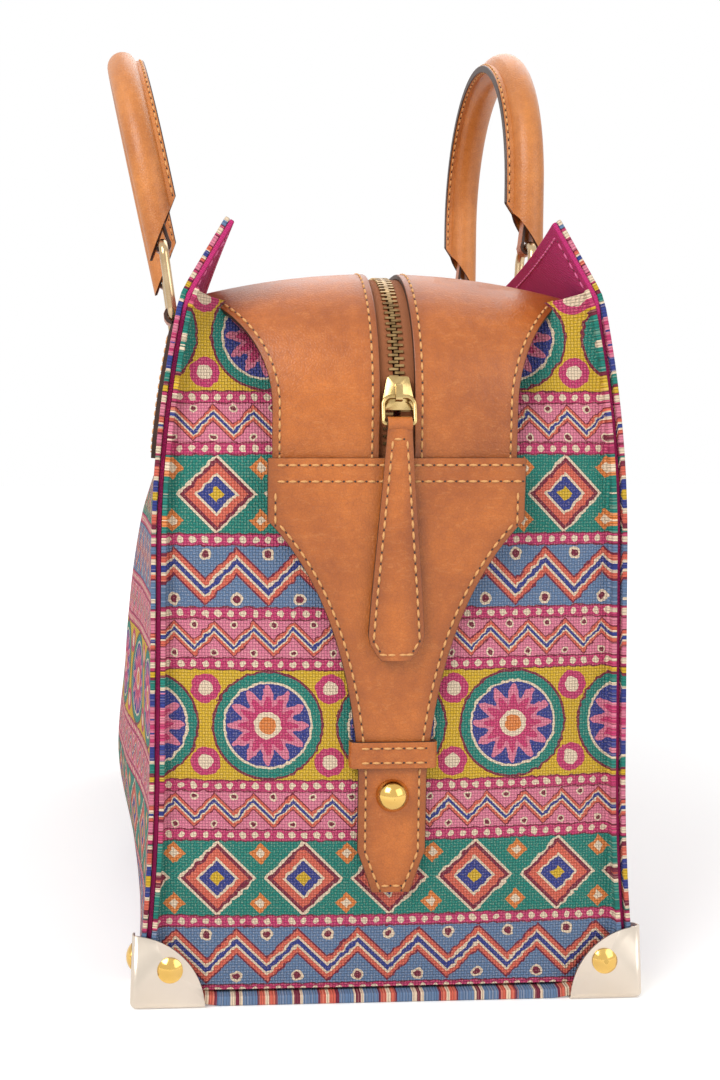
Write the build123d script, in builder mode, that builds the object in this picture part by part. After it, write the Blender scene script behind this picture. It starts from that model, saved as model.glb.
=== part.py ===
"""Structured canvas tote bag with a zipped leather top, rolled handles and metal corners.

Millimetres. +X runs along the bag's length, +Y from its front to its back and +Z up. The origin lies on
the floor under the middle of the bag. Left and right are those of someone who faces the front.
"""

import os
from math import cos, radians, sin, tan

from build123d import *

# Room around pieces, and the reach of every cut that passes right through
overrun = 60.0
seam_gap = 0.1
soft_gap = 0.3
metal_gap = 0.15

# Canvas walls: half-widths of the outer face at the heights where its curve changes
bag_length = 370.0
canvas = 1.8
lining_cloth = 1.8
base_thickness = 4.6
base_half_width = 91.5
waist_half_width = 86.0
waist_height = 85.0
shoulder_half_width = 85.0
shoulder_height = 165.0
rim_half_width = 75.5
rim_height = 250.0
ear_fold_radius = 25.0
ear_fold_angle = 19.0
ear_length = 27.0
panel_dip = 14.5
base_corner_radius = 2.5

# End gussets: edges turned out as a flange, middle blown out, top folded in
flange_depth = 4.0
gusset_bulge = 8.3
gusset_height_shares = (0.0, 0.16, 0.39, 0.63, 0.82, 1.0)
gusset_bulge_shares = (0.07, 0.5, 0.84, 1.0, 0.6, -3.6)

# Base board, the stiffener inside
board_thickness = 2.5
board_margin = 3.5

# Leather top: crowned across, bent down over both ends
leather = 2.0
crown_height = 266.0
crown_radius = 280.0
bend_radius = 50.0
bend_angle = 93.0
drop_standoff = 5.6
neck_half_width = 43.0
neck_height = 215.0
top_corner_half_width = 66.0
top_corner_height = 254.6
zip_opening = 12.0

# Zip
tape_thickness = 0.8
tape_half_gap = 1.2
tape_half_width = 14.0
tooth_pitch = 2.54
tooth_length = 1.0
tooth_thickness = 2.2
tooth_reach = 0.8
tooth_root = 2.8
parted_shift = 1.9
parting_run = 6.0
parting_lead = 2.0

# Zip slider, wire pull ring and leather pull
slider_angle = 86.0
slider_length = 11.5
slider_narrow_width = 7.4
slider_wide_width = 11.0
slider_shoulder_length = 3.0
slider_corner_radius = 1.0
slider_channel = 3.0
slider_plate = 1.5
slider_tape_slot = 1.6
slider_flange = 0.55
slider_post_width = 1.6
slider_post_length = 4.0
bridge_length = 6.0
bridge_wall = 0.8
bridge_width = 2.4
bridge_corner_radius = 1.4
pull_wire = 1.5
pull_ring_width = 10.9
pull_ring_drop = 9.0
pull_ring_foot_radius = 1.0
pull_ring_head_radius = 3.0
pull_gap = 0.4
pull_thickness = 3.4
pull_length = 82.0
pull_top_width = 8.6
pull_foot_width = 20.0
pull_tip_width = 10.7
pull_tip_length = 8.0
pull_fold_radius = 2.5

# End tabs, keepers and studs
tab_top_height = 197.5
tab_half_width = 44.8
tab_shoulder_height = 176.0
tab_strap_half_width = 12.2
tab_strap_height = 85.0
tab_curve_half_width = 16.0
tab_curve_height = 146.0
tab_taper_height = 57.5
tab_end_half_width = 6.8
tab_end_height = 42.0
keeper_height = 93.0
keeper_width = 9.6
keeper_leather = 1.6
keeper_half_width = 13.9
keeper_foot = 0.6
keeper_corner_radius = 0.9
stud_height = 78.0
stud_radius = 5.9
stud_dome = 4.6
stud_rim = 0.8
stud_shank_radius = 1.6
stud_shank_length = 6.0
stud_washer_radius = 4.0
stud_washer = 0.8

# Metal corners and their rivets
corner_sheet = 0.8
corner_gap = 1.2
corner_reach = 27.0
corner_lean = 2.2
corner_bend_radius = 2.4
corner_seat = 1.0
rivet_inset = 14.5
rivet_radius = 4.6
rivet_rim = 0.5
rivet_dome = 1.8
rivet_shank_radius = 1.5
rivet_shank_length = 8.0

# Handles, their rings and chapes
handle_spacing = 130.0
handle_leg = 28.0
handle_radius = 7.0
handle_leather = 1.8
handle_flange_reach = 10.0
handle_flange_thickness = 3.4
handle_mouth_height = 9.0
handle_mouth_angle = 56.0
handle_hollow = 24.0
tongue_width = 7.0
tongue_ply = 1.6
front_handle_lean = 12.0
back_handle_lean = 0.0
front_ring_lean = 8.0
back_ring_lean = 3.0
ring_wire_radius = 2.0
ring_width = 21.0
ring_height = 31.0
ring_foot_radius = 3.0
ring_head_radius = 6.0
ring_bar_height = 258.0
chape_ply = 1.8
chape_width = 24.0
chape_loop_width = 14.0
chape_neck = 8.0
chape_foot_height = 196.0
chape_point_length = 8.0
chape_point_width = 13.0

# Sizes that follow from the ones above
half_length = bag_length / 2
wall_depth = canvas + lining_cloth
gusset_edge = half_length - flange_depth
bend_height = crown_height - bend_radius
tab_lean = bend_angle - 90
handle_half_spacing = handle_spacing / 2
loop_radius = ring_wire_radius + soft_gap + chape_ply

# Outer line of the back wall, drawn flat: half-width across, height up
with BuildLine() as wall_line:
    straight = Line((waist_half_width, waist_height), (shoulder_half_width, shoulder_height))
    TangentArc(straight @ 0, (base_half_width, base_thickness), tangent=-(straight % 0))
    lean = TangentArc(straight @ 1, (rim_half_width, rim_height), tangent=straight % 1)
    fold = JernArc(lean @ 1, lean % 1, ear_fold_radius, ear_fold_angle)
    ear = PolarLine(fold @ 1, ear_length, direction=fold % 1)

ear_tip_height = (ear @ 1).Y


def wall_wire(depth):
    """Line of the back wall at a depth below its outer face; a negative depth lies outside it."""
    wire = wall_line.wire()
    if depth == 0:
        return wire
    starts_at_foot = (wire @ 0).Y < (wire @ 1).Y
    side = Side.LEFT if starts_at_foot == (depth > 0) else Side.RIGHT
    return wire.offset_2d(abs(depth), side=side, closed=False)


def wall_ends(wire):
    """Foot and tip of a wall line."""
    return sorted((wire @ 0, wire @ 1), key=lambda point: point.Y)


def wall_strip(near, far):
    """Section of a sheet that follows the back wall between two depths."""
    outer = wall_wire(near)
    inner = wall_wire(far)
    with BuildSketch(Plane.YZ) as strip:
        with BuildLine():
            add(outer)
            add(inner)
            for near_end, far_end in zip(wall_ends(outer), wall_ends(inner)):
                Line(near_end, far_end)
        make_face()
    return strip.sketch


def inside_section(depth):
    """Everything between the two walls, a depth inside their outer faces."""
    line = wall_wire(depth)
    with BuildSketch(Plane.YZ) as section:
        with BuildLine():
            add(line)
            for end in wall_ends(line):
                Line(end, Vector(-end.X, end.Y))
            add(line.mirror(Plane.YZ))
        make_face()
    return section.sketch


def wall_point(depth, height):
    """Point at a height on the back wall's line at a depth."""
    wire = wall_wire(depth)
    low, high = (0.0, 1.0) if (wire @ 0).Y < (wire @ 1).Y else (1.0, 0.0)
    for _ in range(40):
        middle = (low + high) / 2
        low, high = (middle, high) if (wire @ middle).Y < height else (low, middle)
    return wire @ low


def wall_outline():
    """Outline of a wall seen from the front: its top edge dips between the ears."""
    with BuildSketch(Plane.XZ) as outline:
        with BuildLine():
            right_tip = (half_length, ear_tip_height)
            left_tip = (-half_length, ear_tip_height)
            ThreePointArc(left_tip, (0, ear_tip_height - panel_dip), right_tip)
            Polyline(right_tip, (half_length, base_thickness), (-half_length, base_thickness), left_tip)
        make_face()
    return outline.sketch


def domed_pin(plane, radius, rim, dome, shank_radius, shank_length):
    """Domed head that stands on a plane, with its shank behind the plane."""
    profile_plane = Plane(plane.origin, x_dir=plane.x_dir, z_dir=plane.x_dir.cross(plane.z_dir))
    with BuildPart() as pin:
        with BuildSketch(profile_plane):
            with BuildLine():
                TangentArc((0, rim + dome), (radius, rim), tangent=(1, 0))
                Polyline((radius, rim), (radius, 0), (shank_radius, 0), (shank_radius, -shank_length))
                Polyline((shank_radius, -shank_length), (0, -shank_length), (0, rim + dome))
            make_face()
        revolve(axis=Axis(plane.origin, plane.z_dir))
    return pin.part


# Places of the rivets on the right back corner: one on the end, one on the back
corner_x = half_length + corner_gap + corner_sheet
corner_y = base_half_width + corner_gap + corner_sheet
rivet_lean = tan(radians(corner_lean)) * rivet_inset
end_rivet = Plane(
    (corner_x - rivet_lean, corner_y - rivet_inset, rivet_inset),
    x_dir=(0, 1, 0),
    z_dir=(cos(radians(corner_lean)), 0, sin(radians(corner_lean))),
)
back_rivet = Plane(
    (corner_x - rivet_inset, corner_y - rivet_lean, rivet_inset),
    x_dir=(1, 0, 0),
    z_dir=(0, cos(radians(corner_lean)), sin(radians(corner_lean))),
)


def mirrored(plane, about):
    """The same plane on the other side of the bag."""
    flip = Vector(-1, 1, 1) if about == Plane.YZ else Vector(1, -1, 1)
    return Plane(
        Vector(plane.origin.X * flip.X, plane.origin.Y * flip.Y, plane.origin.Z),
        x_dir=plane.x_dir,
        z_dir=Vector(plane.z_dir.X * flip.X, plane.z_dir.Y * flip.Y, plane.z_dir.Z),
    )


end_rivets = [end_rivet, mirrored(end_rivet, Plane.XZ)]
back_rivets = [back_rivet, mirrored(back_rivet, Plane.YZ)]

# Canvas walls and their lining
with BuildPart() as back_panel:
    extrude(wall_strip(0, canvas), amount=half_length, both=True)
    extrude(wall_outline(), amount=-(base_half_width + overrun), mode=Mode.INTERSECT)
    with Locations(*[plane.location for plane in back_rivets]):
        Cylinder(rivet_shank_radius + metal_gap, overrun, mode=Mode.SUBTRACT)

with BuildPart() as back_lining:
    extrude(wall_strip(canvas, wall_depth), amount=half_length, both=True)
    extrude(wall_outline(), amount=-(base_half_width + overrun), mode=Mode.INTERSECT)
    with Locations(*[plane.location for plane in back_rivets]):
        Cylinder(rivet_shank_radius + metal_gap, overrun, mode=Mode.SUBTRACT)

with BuildPart() as front_panel:
    add(back_panel.part.mirror(Plane.XZ))

with BuildPart() as front_lining:
    add(back_lining.part.mirror(Plane.XZ))

# Base: printed canvas outside, with a shallow seat at each corner for the metal, and a board inside
with BuildPart() as base_panel:
    with BuildSketch():
        RectangleRounded(bag_length, 2 * base_half_width, base_corner_radius)
    extrude(amount=base_thickness)
    with BuildSketch():
        with GridLocations(2 * corner_x, 2 * corner_y, 2, 2):
            Circle(corner_reach + soft_gap)
    extrude(amount=corner_seat, mode=Mode.SUBTRACT)

with BuildPart() as base_board:
    with BuildSketch(Plane.XY.offset(base_thickness)):
        board_length = 2 * (gusset_edge - canvas - soft_gap)
        Rectangle(board_length, 2 * (base_half_width - wall_depth - board_margin))
    extrude(amount=board_thickness)

# Leather top: places along the bend at the right end
bend_x = gusset_edge + gusset_bulge + drop_standoff - bend_radius * sin(radians(bend_angle))
drop_normal = Vector(sin(radians(bend_angle)), 0, cos(radians(bend_angle)))
drop_plane = Plane(
    Vector(bend_x, 0, bend_height) + drop_normal * bend_radius, x_dir=(0, 1, 0), z_dir=drop_normal
)


def drop_y(height):
    """Place of a height on the plane of the hanging leather."""
    return (height - drop_plane.origin.Z) / cos(radians(tab_lean))


drop_length = -drop_y(tab_shoulder_height)


def draped_strip(near, far, depth, thickness):
    """Right half of a strip in the top's back half: along the bag, round the bend and down the end."""
    with BuildPart() as strip:
        with BuildSketch(Plane.YZ):
            with Locations((0, crown_height - crown_radius)):
                Circle(crown_radius - depth)
                Circle(crown_radius - depth - thickness, mode=Mode.SUBTRACT)
            with Locations(((near + far) / 2, crown_height)):
                Rectangle(far - near, bend_radius, mode=Mode.INTERSECT)
        extrude(amount=bend_x)
        bend_axis = Axis((bend_x, 0, bend_height), (0, 1, 0))
        revolve(strip.faces().sort_by(Axis.X)[-1], axis=bend_axis, revolution_arc=bend_angle)
        extrude(strip.faces().sort_by(Axis.Z)[0], amount=drop_length)
    return strip.part


with BuildPart() as back_top_leather:
    add(draped_strip(zip_opening / 2, rim_half_width, 0, leather))
    extrude(inside_section(wall_depth + soft_gap), amount=half_length + overrun, mode=Mode.INTERSECT)
    with BuildSketch(Plane.YZ):
        with BuildLine():
            neck = Line((neck_half_width, base_thickness), (neck_half_width, neck_height))
            flare = TangentArc(neck @ 1, (top_corner_half_width, top_corner_height), tangent=neck % 1)
            side = base_half_width
            Polyline(flare @ 1, (side, top_corner_height), (side, base_thickness), neck @ 0)
        make_face()
    extrude(amount=half_length + overrun, mode=Mode.SUBTRACT)
    mirror(about=Plane.YZ)

with BuildPart() as front_top_leather:
    add(back_top_leather.part.mirror(Plane.XZ))

with BuildPart() as back_zip_tape:
    add(draped_strip(tape_half_gap, tape_half_width, leather + seam_gap, tape_thickness))
    mirror(about=Plane.YZ)

with BuildPart() as front_zip_tape:
    add(back_zip_tape.part.mirror(Plane.XZ))

# End gussets: a blown-out sheet between two flanges that lie against the lining
gusset_rise = rim_height - base_thickness
stud_plane = Plane(
    drop_plane.from_local_coords((0, drop_y(stud_height), seam_gap + leather)),
    x_dir=(0, 1, 0),
    z_dir=drop_normal,
)

with BuildPart() as gusset_sheet:
    for height_share, bulge_share in zip(gusset_height_shares, gusset_bulge_shares):
        height = base_thickness + gusset_rise * height_share
        bulge = gusset_bulge * bulge_share
        side = base_half_width
        edge_sweep = bulge * (1 - (side / wall_point(wall_depth, height).X) ** 2)
        with BuildSketch(Plane.XY.offset(height)):
            with BuildLine():
                edge = gusset_edge + edge_sweep
                middle = gusset_edge + bulge
                outer = ThreePointArc((edge, -side), (middle, 0), (edge, side))
                inner_edge = edge - canvas
                inner = ThreePointArc((inner_edge, -side), (middle - canvas, 0), (inner_edge, side))
                Line(outer @ 0, inner @ 0)
                Line(outer @ 1, inner @ 1)
            make_face()
    loft()
    extrude(inside_section(wall_depth), amount=half_length + overrun, mode=Mode.INTERSECT)

with BuildPart() as right_gusset:
    extrude(wall_strip(wall_depth, wall_depth + canvas), amount=half_length)
    mirror(about=Plane.XZ)
    with Locations((gusset_edge - canvas, 0, 0)):
        all_heights = (Align.MAX, Align.CENTER, Align.CENTER)
        Box(bag_length, bag_length, bag_length * 2, align=all_heights, mode=Mode.SUBTRACT)
    add(gusset_sheet.part)
    with Locations((0, 0, base_thickness)):
        from_foot = (Align.CENTER, Align.CENTER, Align.MIN)
        Box(bag_length * 2, bag_length, gusset_rise, align=from_foot, mode=Mode.INTERSECT)
    with Locations(*[plane.location for plane in end_rivets]):
        Cylinder(rivet_shank_radius + metal_gap, overrun, mode=Mode.SUBTRACT)
    with Locations(stud_plane.location):
        Cylinder(stud_shank_radius + metal_gap, overrun, mode=Mode.SUBTRACT)

with BuildPart() as left_gusset:
    add(right_gusset.part.mirror(Plane.YZ))

# Zip chain: two rows of teeth that mesh up to the slider and part below it
chain_depth = leather + seam_gap + tape_thickness / 2
chain_radius = bend_radius - chain_depth
chain_drop_run = bend_x + chain_radius * radians(bend_angle)
chain_half_run = chain_drop_run - drop_y(tab_top_height) - tooth_pitch
slider_run = bend_x + chain_radius * radians(slider_angle)
teeth_per_row = int(2 * chain_half_run / tooth_pitch)


def chain_plane(run):
    """Plane across the chain at a run from the bag's middle, with its normal out of the leather."""
    end = 1 if run >= 0 else -1
    reach = abs(run)
    angle = radians(min(max((reach - bend_x) / radians(chain_radius), 0), bend_angle))
    level = min(reach, bend_x)
    fall = max(reach - chain_drop_run, 0)
    x = level + chain_radius * sin(angle) + fall * cos(angle)
    z = bend_height + chain_radius * cos(angle) - fall * sin(angle)
    return Plane((end * x, 0, z), x_dir=(0, 1, 0), z_dir=(end * sin(angle), 0, cos(angle)))


def parted(run):
    """How far a row has moved off its meshed place at a run."""
    share = min(max((run - slider_run + parting_lead) / parting_run, 0), 1)
    return parted_shift * share * share * (3 - 2 * share)


def tooth_places(row, first_run):
    """Places of one row's teeth; row is 1 at the back and -1 at the front."""
    places = []
    for index in range(teeth_per_row):
        run = first_run + index * tooth_pitch
        plane = chain_plane(run)
        across = row * ((tooth_root - tooth_reach) / 2 + parted(run))
        places.append(Plane(plane.origin + plane.x_dir * across, plane.x_dir, plane.z_dir).location)
    return places


with BuildPart() as back_zip_teeth:
    with Locations(*tooth_places(1, -chain_half_run)):
        Box(tooth_root + tooth_reach, tooth_length, tooth_thickness)

with BuildPart() as front_zip_teeth:
    with Locations(*tooth_places(-1, -chain_half_run + tooth_pitch / 2)):
        Box(tooth_root + tooth_reach, tooth_length, tooth_thickness)

# Zip slider: two plates on a post, a channel for the teeth, a slot for the tapes and a bridge
slider_plane = chain_plane(slider_run)
slider_half_height = slider_channel / 2 + slider_plate
slider_foot = -slider_length / 2
wire_bore = pull_wire / 2 + metal_gap
pin_height = slider_half_height + pull_wire / 2 + 2 * metal_gap
bridge_plane = Plane(slider_plane.origin, x_dir=slider_plane.y_dir, z_dir=(0, 1, 0))
pin_place = bridge_plane.from_local_coords((wire_bore + bridge_wall - bridge_length / 2, pin_height))


def slider_shape(margin, foot):
    """Outline of the slider, narrow end up, drawn in by a margin and ended at a foot."""
    top = slider_length / 2
    narrow = slider_narrow_width / 2 - margin
    wide = slider_wide_width / 2 - margin
    shoulder = slider_foot + slider_shoulder_length
    return [(narrow, top), (wide, shoulder), (wide, foot), (-wide, foot), (-wide, shoulder), (-narrow, top)]


def slider_post():
    """Outline of the wedge that parts the two rows."""
    half = slider_post_width / 2
    return [(0, slider_foot + slider_post_length), (half, slider_foot + half), (-half, slider_foot + half)]


with BuildPart() as zip_slider:
    with BuildSketch(slider_plane.offset(-slider_half_height)) as plate:
        Polygon(*slider_shape(0, slider_foot), align=None)
        fillet(plate.vertices(), slider_corner_radius)
    extrude(amount=2 * slider_half_height)
    with BuildSketch(slider_plane.offset(-slider_channel / 2)):
        Polygon(*slider_shape(slider_flange, slider_foot - slider_flange), align=None)
        with Locations((0, slider_length / 2)):
            Rectangle(slider_narrow_width - 2 * slider_flange, slider_flange)
        Polygon(*slider_post(), align=None, mode=Mode.SUBTRACT)
    extrude(amount=slider_channel, mode=Mode.SUBTRACT)
    with BuildSketch(slider_plane.offset(-slider_tape_slot / 2)):
        Rectangle(2 * slider_wide_width, 2 * slider_length)
        Polygon(*slider_post(), align=None, mode=Mode.SUBTRACT)
    extrude(amount=slider_tape_slot, mode=Mode.SUBTRACT)
    with BuildSketch(bridge_plane) as bridge:
        bridge_top = pin_height + wire_bore + bridge_wall
        with Locations((0, slider_half_height - slider_plate / 2)):
            bridge_rise = bridge_top - slider_half_height + slider_plate / 2
            Rectangle(bridge_length, bridge_rise, align=(Align.CENTER, Align.MIN))
        fillet(bridge.vertices().group_by(Axis.Y)[-1], bridge_corner_radius)
        with Locations((0, pin_height)):
            SlotOverall(bridge_length - 2 * bridge_wall, 2 * wire_bore, mode=Mode.SUBTRACT)
    extrude(amount=bridge_width / 2, both=True)

# Wire ring between slider and pull
pull_depth = seam_gap + leather + pull_gap + pull_thickness / 2
bar_place = drop_plane.from_local_coords((0, drop_y(pin_place.Z - pull_ring_drop), pull_depth))
pull_ring_rise = pin_place - bar_place
pull_ring_plane = Plane(
    bar_place, x_dir=(0, 1, 0), z_dir=Vector(0, 1, 0).cross(pull_ring_rise.normalized())
)


def wire_loop(plane, width, height, foot_radius, head_radius, wire_radius):
    """Closed wire ring on a plane, with its lower bar on the plane's x axis."""
    half = width / 2
    with BuildPart() as ring:
        with BuildLine(plane) as path:
            FilletPolyline(
                (-half, 0),
                (half, 0),
                (half, height),
                (-half, height),
                radius=(foot_radius, foot_radius, head_radius, head_radius),
                close=True,
            )
        with BuildSketch(Plane(path.wire() @ 0, z_dir=path.wire() % 0)):
            Circle(wire_radius)
        sweep(path=path.wire())
    return ring.part


with BuildPart() as pull_ring:
    add(
        wire_loop(
            pull_ring_plane,
            pull_ring_width,
            pull_ring_rise.length,
            pull_ring_foot_radius,
            pull_ring_head_radius,
            pull_wire / 2,
        )
    )

# Leather pull: folded over the ring's lower bar, wider towards its blunt point
with BuildPart() as zip_pull:
    with BuildSketch(drop_plane.offset(pull_depth - pull_thickness / 2)):
        with BuildLine():
            pull_head = drop_y(bar_place.Z)
            pull_shoulder = pull_head - pull_length + pull_tip_length
            Polyline(
                (0, pull_head),
                (pull_top_width / 2, pull_head),
                (pull_foot_width / 2, pull_shoulder),
                (pull_tip_width / 2, pull_head - pull_length),
                (0, pull_head - pull_length),
            )
            mirror(about=Plane.YZ)
        make_face()
    extrude(amount=pull_thickness)
    fold_plane = Plane(bar_place, x_dir=drop_plane.y_dir, z_dir=(0, 1, 0))
    with BuildSketch(fold_plane):
        Circle(pull_fold_radius)
    extrude(amount=pull_top_width / 2, both=True)
    with BuildSketch(fold_plane):
        Circle(wire_bore)
    extrude(amount=pull_foot_width, both=True, mode=Mode.SUBTRACT)

# End tabs: one leather piece that closes the zip's end and narrows to a strap
with BuildPart() as right_end_tab:
    with BuildSketch(drop_plane.offset(seam_gap)):
        with BuildLine():
            Polyline(
                (0, drop_y(tab_top_height)),
                (tab_half_width, drop_y(tab_top_height)),
                (tab_half_width, drop_y(tab_shoulder_height)),
            )
            Bezier(
                (tab_half_width, drop_y(tab_shoulder_height)),
                (tab_curve_half_width, drop_y(tab_curve_height)),
                (tab_strap_half_width, drop_y(tab_strap_height)),
            )
            Polyline(
                (tab_strap_half_width, drop_y(tab_strap_height)),
                (tab_strap_half_width, drop_y(tab_taper_height)),
                (tab_end_half_width, drop_y(tab_end_height)),
                (0, drop_y(tab_end_height)),
            )
            mirror(about=Plane.YZ)
        make_face()
    extrude(amount=leather)
    with Locations(stud_plane.location):
        Cylinder(stud_shank_radius + metal_gap, overrun, mode=Mode.SUBTRACT)

with BuildPart() as left_end_tab:
    add(right_end_tab.part.mirror(Plane.YZ))

# Keepers: loops over the strap, sewn to the gusset by their feet
keeper_plane = Plane(
    drop_plane.from_local_coords((0, drop_y(keeper_height) - keeper_width / 2, 0)),
    x_dir=(0, 1, 0),
    z_dir=drop_plane.y_dir,
)
with BuildPart() as right_keeper:
    with BuildSketch(keeper_plane):
        keeper_inside = seam_gap + leather + soft_gap
        keeper_outside = keeper_inside + keeper_leather
        with Locations((0, (keeper_foot - keeper_outside) / 2)):
            RectangleRounded(
                2 * (keeper_half_width + keeper_leather), keeper_outside + keeper_foot, keeper_corner_radius
            )
        with Locations((0, keeper_foot - (keeper_foot + keeper_inside) / 2)):
            Rectangle(2 * keeper_half_width, keeper_inside + keeper_foot, mode=Mode.SUBTRACT)
    extrude(amount=keeper_width)

with BuildPart() as left_keeper:
    add(right_keeper.part.mirror(Plane.YZ))

# Domed studs that hold the straps to the gussets
with BuildPart() as right_stud:
    add(domed_pin(stud_plane, stud_radius, stud_rim, stud_dome, stud_shank_radius, stud_shank_length))
    with Locations(stud_plane.offset(-stud_shank_length).location):
        Cylinder(stud_washer_radius, stud_washer, align=(Align.CENTER, Align.CENTER, Align.MIN))

with BuildPart() as left_stud:
    add(right_stud.part.mirror(Plane.YZ))

# Sheet-metal corners: three leaning wings with round outer edges
with BuildPart() as right_back_corner:
    with BuildSketch():
        with Locations((corner_x, corner_y)):
            Rectangle(corner_reach * 2, corner_reach * 2, align=(Align.MAX, Align.MAX))
    extrude(amount=corner_reach * 2, taper=corner_lean)
    apex = right_back_corner.vertices().sort_by_distance((corner_x, corner_y, 0))[0]
    fillet(right_back_corner.edges().filter_by(lambda edge: apex in edge.vertices()), corner_bend_radius)
    open_sides = [
        right_back_corner.faces().sort_by(Axis.X)[0],
        right_back_corner.faces().sort_by(Axis.Y)[0],
        right_back_corner.faces().sort_by(Axis.Z)[-1],
    ]
    offset(amount=-corner_sheet, openings=open_sides)
    with Locations((corner_x, corner_y, 0)):
        Sphere(corner_reach, mode=Mode.INTERSECT)
    with Locations(end_rivet.location, back_rivet.location):
        Cylinder(rivet_shank_radius + metal_gap, corner_reach, mode=Mode.SUBTRACT)

with BuildPart() as left_back_corner:
    add(right_back_corner.part.mirror(Plane.YZ))

with BuildPart() as right_front_corner:
    add(right_back_corner.part.mirror(Plane.XZ))

with BuildPart() as left_front_corner:
    add(left_back_corner.part.mirror(Plane.XZ))

with BuildPart() as corner_rivets:
    for plane in (end_rivet, back_rivet):
        add(domed_pin(plane, rivet_radius, rivet_rim, rivet_dome, rivet_shank_radius, rivet_shank_length))
    mirror(about=Plane.XZ)
    mirror(about=Plane.YZ)

# Rings that carry the handles, and the chapes that hold them on the walls
bar_point = wall_point(-(soft_gap + loop_radius), ring_bar_height)


def swing_plane(x, foot, lean):
    """Upright plane along the bag that leans out by an angle, with its foot on a wall point."""
    return Plane((x, foot.X, foot.Y), x_dir=(1, 0, 0), z_dir=(0, -cos(radians(lean)), sin(radians(lean))))


def ring_head(lean):
    """Middle of a leaning ring's upper bar, on the wall's drawing plane."""
    return bar_point + Vector(sin(radians(lean)), cos(radians(lean))) * ring_height


def handle_ring(lean):
    """Right ring of the back handle at a lean."""
    plane = swing_plane(handle_half_spacing, bar_point, lean)
    return wire_loop(plane, ring_width, ring_height, ring_foot_radius, ring_head_radius, ring_wire_radius)


with BuildPart() as right_back_ring:
    add(handle_ring(back_ring_lean))

with BuildPart() as left_back_ring:
    add(right_back_ring.part.mirror(Plane.YZ))

with BuildPart() as right_front_ring:
    add(handle_ring(front_ring_lean).mirror(Plane.XZ))

with BuildPart() as left_front_ring:
    add(right_front_ring.part.mirror(Plane.YZ))

with BuildPart() as right_back_chape:
    patch_plane = Plane.YZ.offset(handle_half_spacing)
    patch_top = bar_point.Y - chape_neck
    extrude(wall_strip(-seam_gap, -seam_gap - 2 * chape_ply), amount=bag_length)
    with BuildSketch(Plane.XZ):
        with Locations((handle_half_spacing, chape_foot_height)):
            Polygon(
                (chape_point_width / 2, 0),
                (chape_width / 2, chape_point_length),
                (chape_width / 2, patch_top - chape_foot_height),
                (chape_loop_width / 2, patch_top - chape_foot_height),
                (chape_loop_width / 2, bar_point.Y - chape_foot_height),
                (-chape_loop_width / 2, bar_point.Y - chape_foot_height),
                (-chape_loop_width / 2, patch_top - chape_foot_height),
                (-chape_width / 2, patch_top - chape_foot_height),
                (-chape_width / 2, chape_point_length),
                (-chape_point_width / 2, 0),
                align=None,
            )
    extrude(amount=-(base_half_width + overrun), mode=Mode.INTERSECT)
    with BuildSketch(patch_plane):
        with Locations((bar_point.X, bar_point.Y)):
            Circle(loop_radius)
    extrude(amount=chape_loop_width / 2, both=True)
    with BuildSketch(patch_plane):
        with Locations((bar_point.X, bar_point.Y)):
            Circle(ring_wire_radius + soft_gap)
    extrude(amount=chape_width, both=True, mode=Mode.SUBTRACT)

with BuildPart() as left_back_chape:
    add(right_back_chape.part.mirror(Plane.YZ))

with BuildPart() as right_front_chape:
    add(right_back_chape.part.mirror(Plane.XZ))

with BuildPart() as left_front_chape:
    add(left_back_chape.part.mirror(Plane.XZ))


def rolled_handle(ring_lean, lean):
    """Back handle at a lean: a rolled tube with a sewn flange, open at its slanting ends."""
    plane = swing_plane(0, ring_head(ring_lean), lean)
    outward = plane.y_dir.cross(Vector(1, 0, 0))
    foot = -2 * ring_wire_radius
    tongue_radius = ring_wire_radius + soft_gap + tongue_ply
    with BuildPart() as handle:
        with BuildLine(plane) as path:
            Line((-handle_half_spacing, foot), (-handle_half_spacing, handle_leg))
            arch_top = handle_leg + handle_half_spacing
            ThreePointArc((-handle_half_spacing, handle_leg), (0, arch_top), (handle_half_spacing, handle_leg))
            Line((handle_half_spacing, handle_leg), (handle_half_spacing, foot))
        with BuildSketch(Plane(path.wire() @ 0, x_dir=(1, 0, 0), z_dir=plane.y_dir)):
            Circle(handle_radius)
            Rectangle(handle_flange_thickness, handle_flange_reach, align=(Align.CENTER, Align.MAX))
        sweep(path=path.wire())
        for side in (-handle_half_spacing, handle_half_spacing):
            leg_foot = plane.from_local_coords((side, foot, 0))
            with BuildSketch(Plane(leg_foot, x_dir=(1, 0, 0), z_dir=plane.y_dir)):
                Circle(handle_radius - handle_leather)
            extrude(amount=handle_hollow - foot, mode=Mode.SUBTRACT)
        mouth_reach = handle_flange_reach + handle_radius
        mouth_rise = mouth_reach * tan(radians(handle_mouth_angle))
        with BuildSketch(Plane(plane.origin, x_dir=outward, z_dir=(1, 0, 0))):
            Polygon(
                (-mouth_reach, handle_mouth_height + mouth_rise),
                (-mouth_reach, -mouth_rise),
                (mouth_reach, -mouth_rise),
                (mouth_reach, handle_mouth_height - mouth_rise),
                align=None,
            )
        extrude(amount=handle_spacing, both=True, mode=Mode.SUBTRACT)
        for side in (-handle_half_spacing, handle_half_spacing):
            tongue_plane = Plane(plane.from_local_coords((side, 0, 0)), x_dir=outward, z_dir=(1, 0, 0))
            with BuildSketch(tongue_plane):
                Circle(tongue_radius)
                Rectangle(2 * tongue_ply, handle_hollow + tongue_ply, align=(Align.CENTER, Align.MIN))
                Circle(ring_wire_radius + soft_gap, mode=Mode.SUBTRACT)
            extrude(amount=tongue_width / 2, both=True)
    return handle.part


with BuildPart() as back_handle:
    add(rolled_handle(back_ring_lean, back_handle_lean))

with BuildPart() as front_handle:
    add(rolled_handle(front_ring_lean, front_handle_lean).mirror(Plane.XZ))

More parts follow.
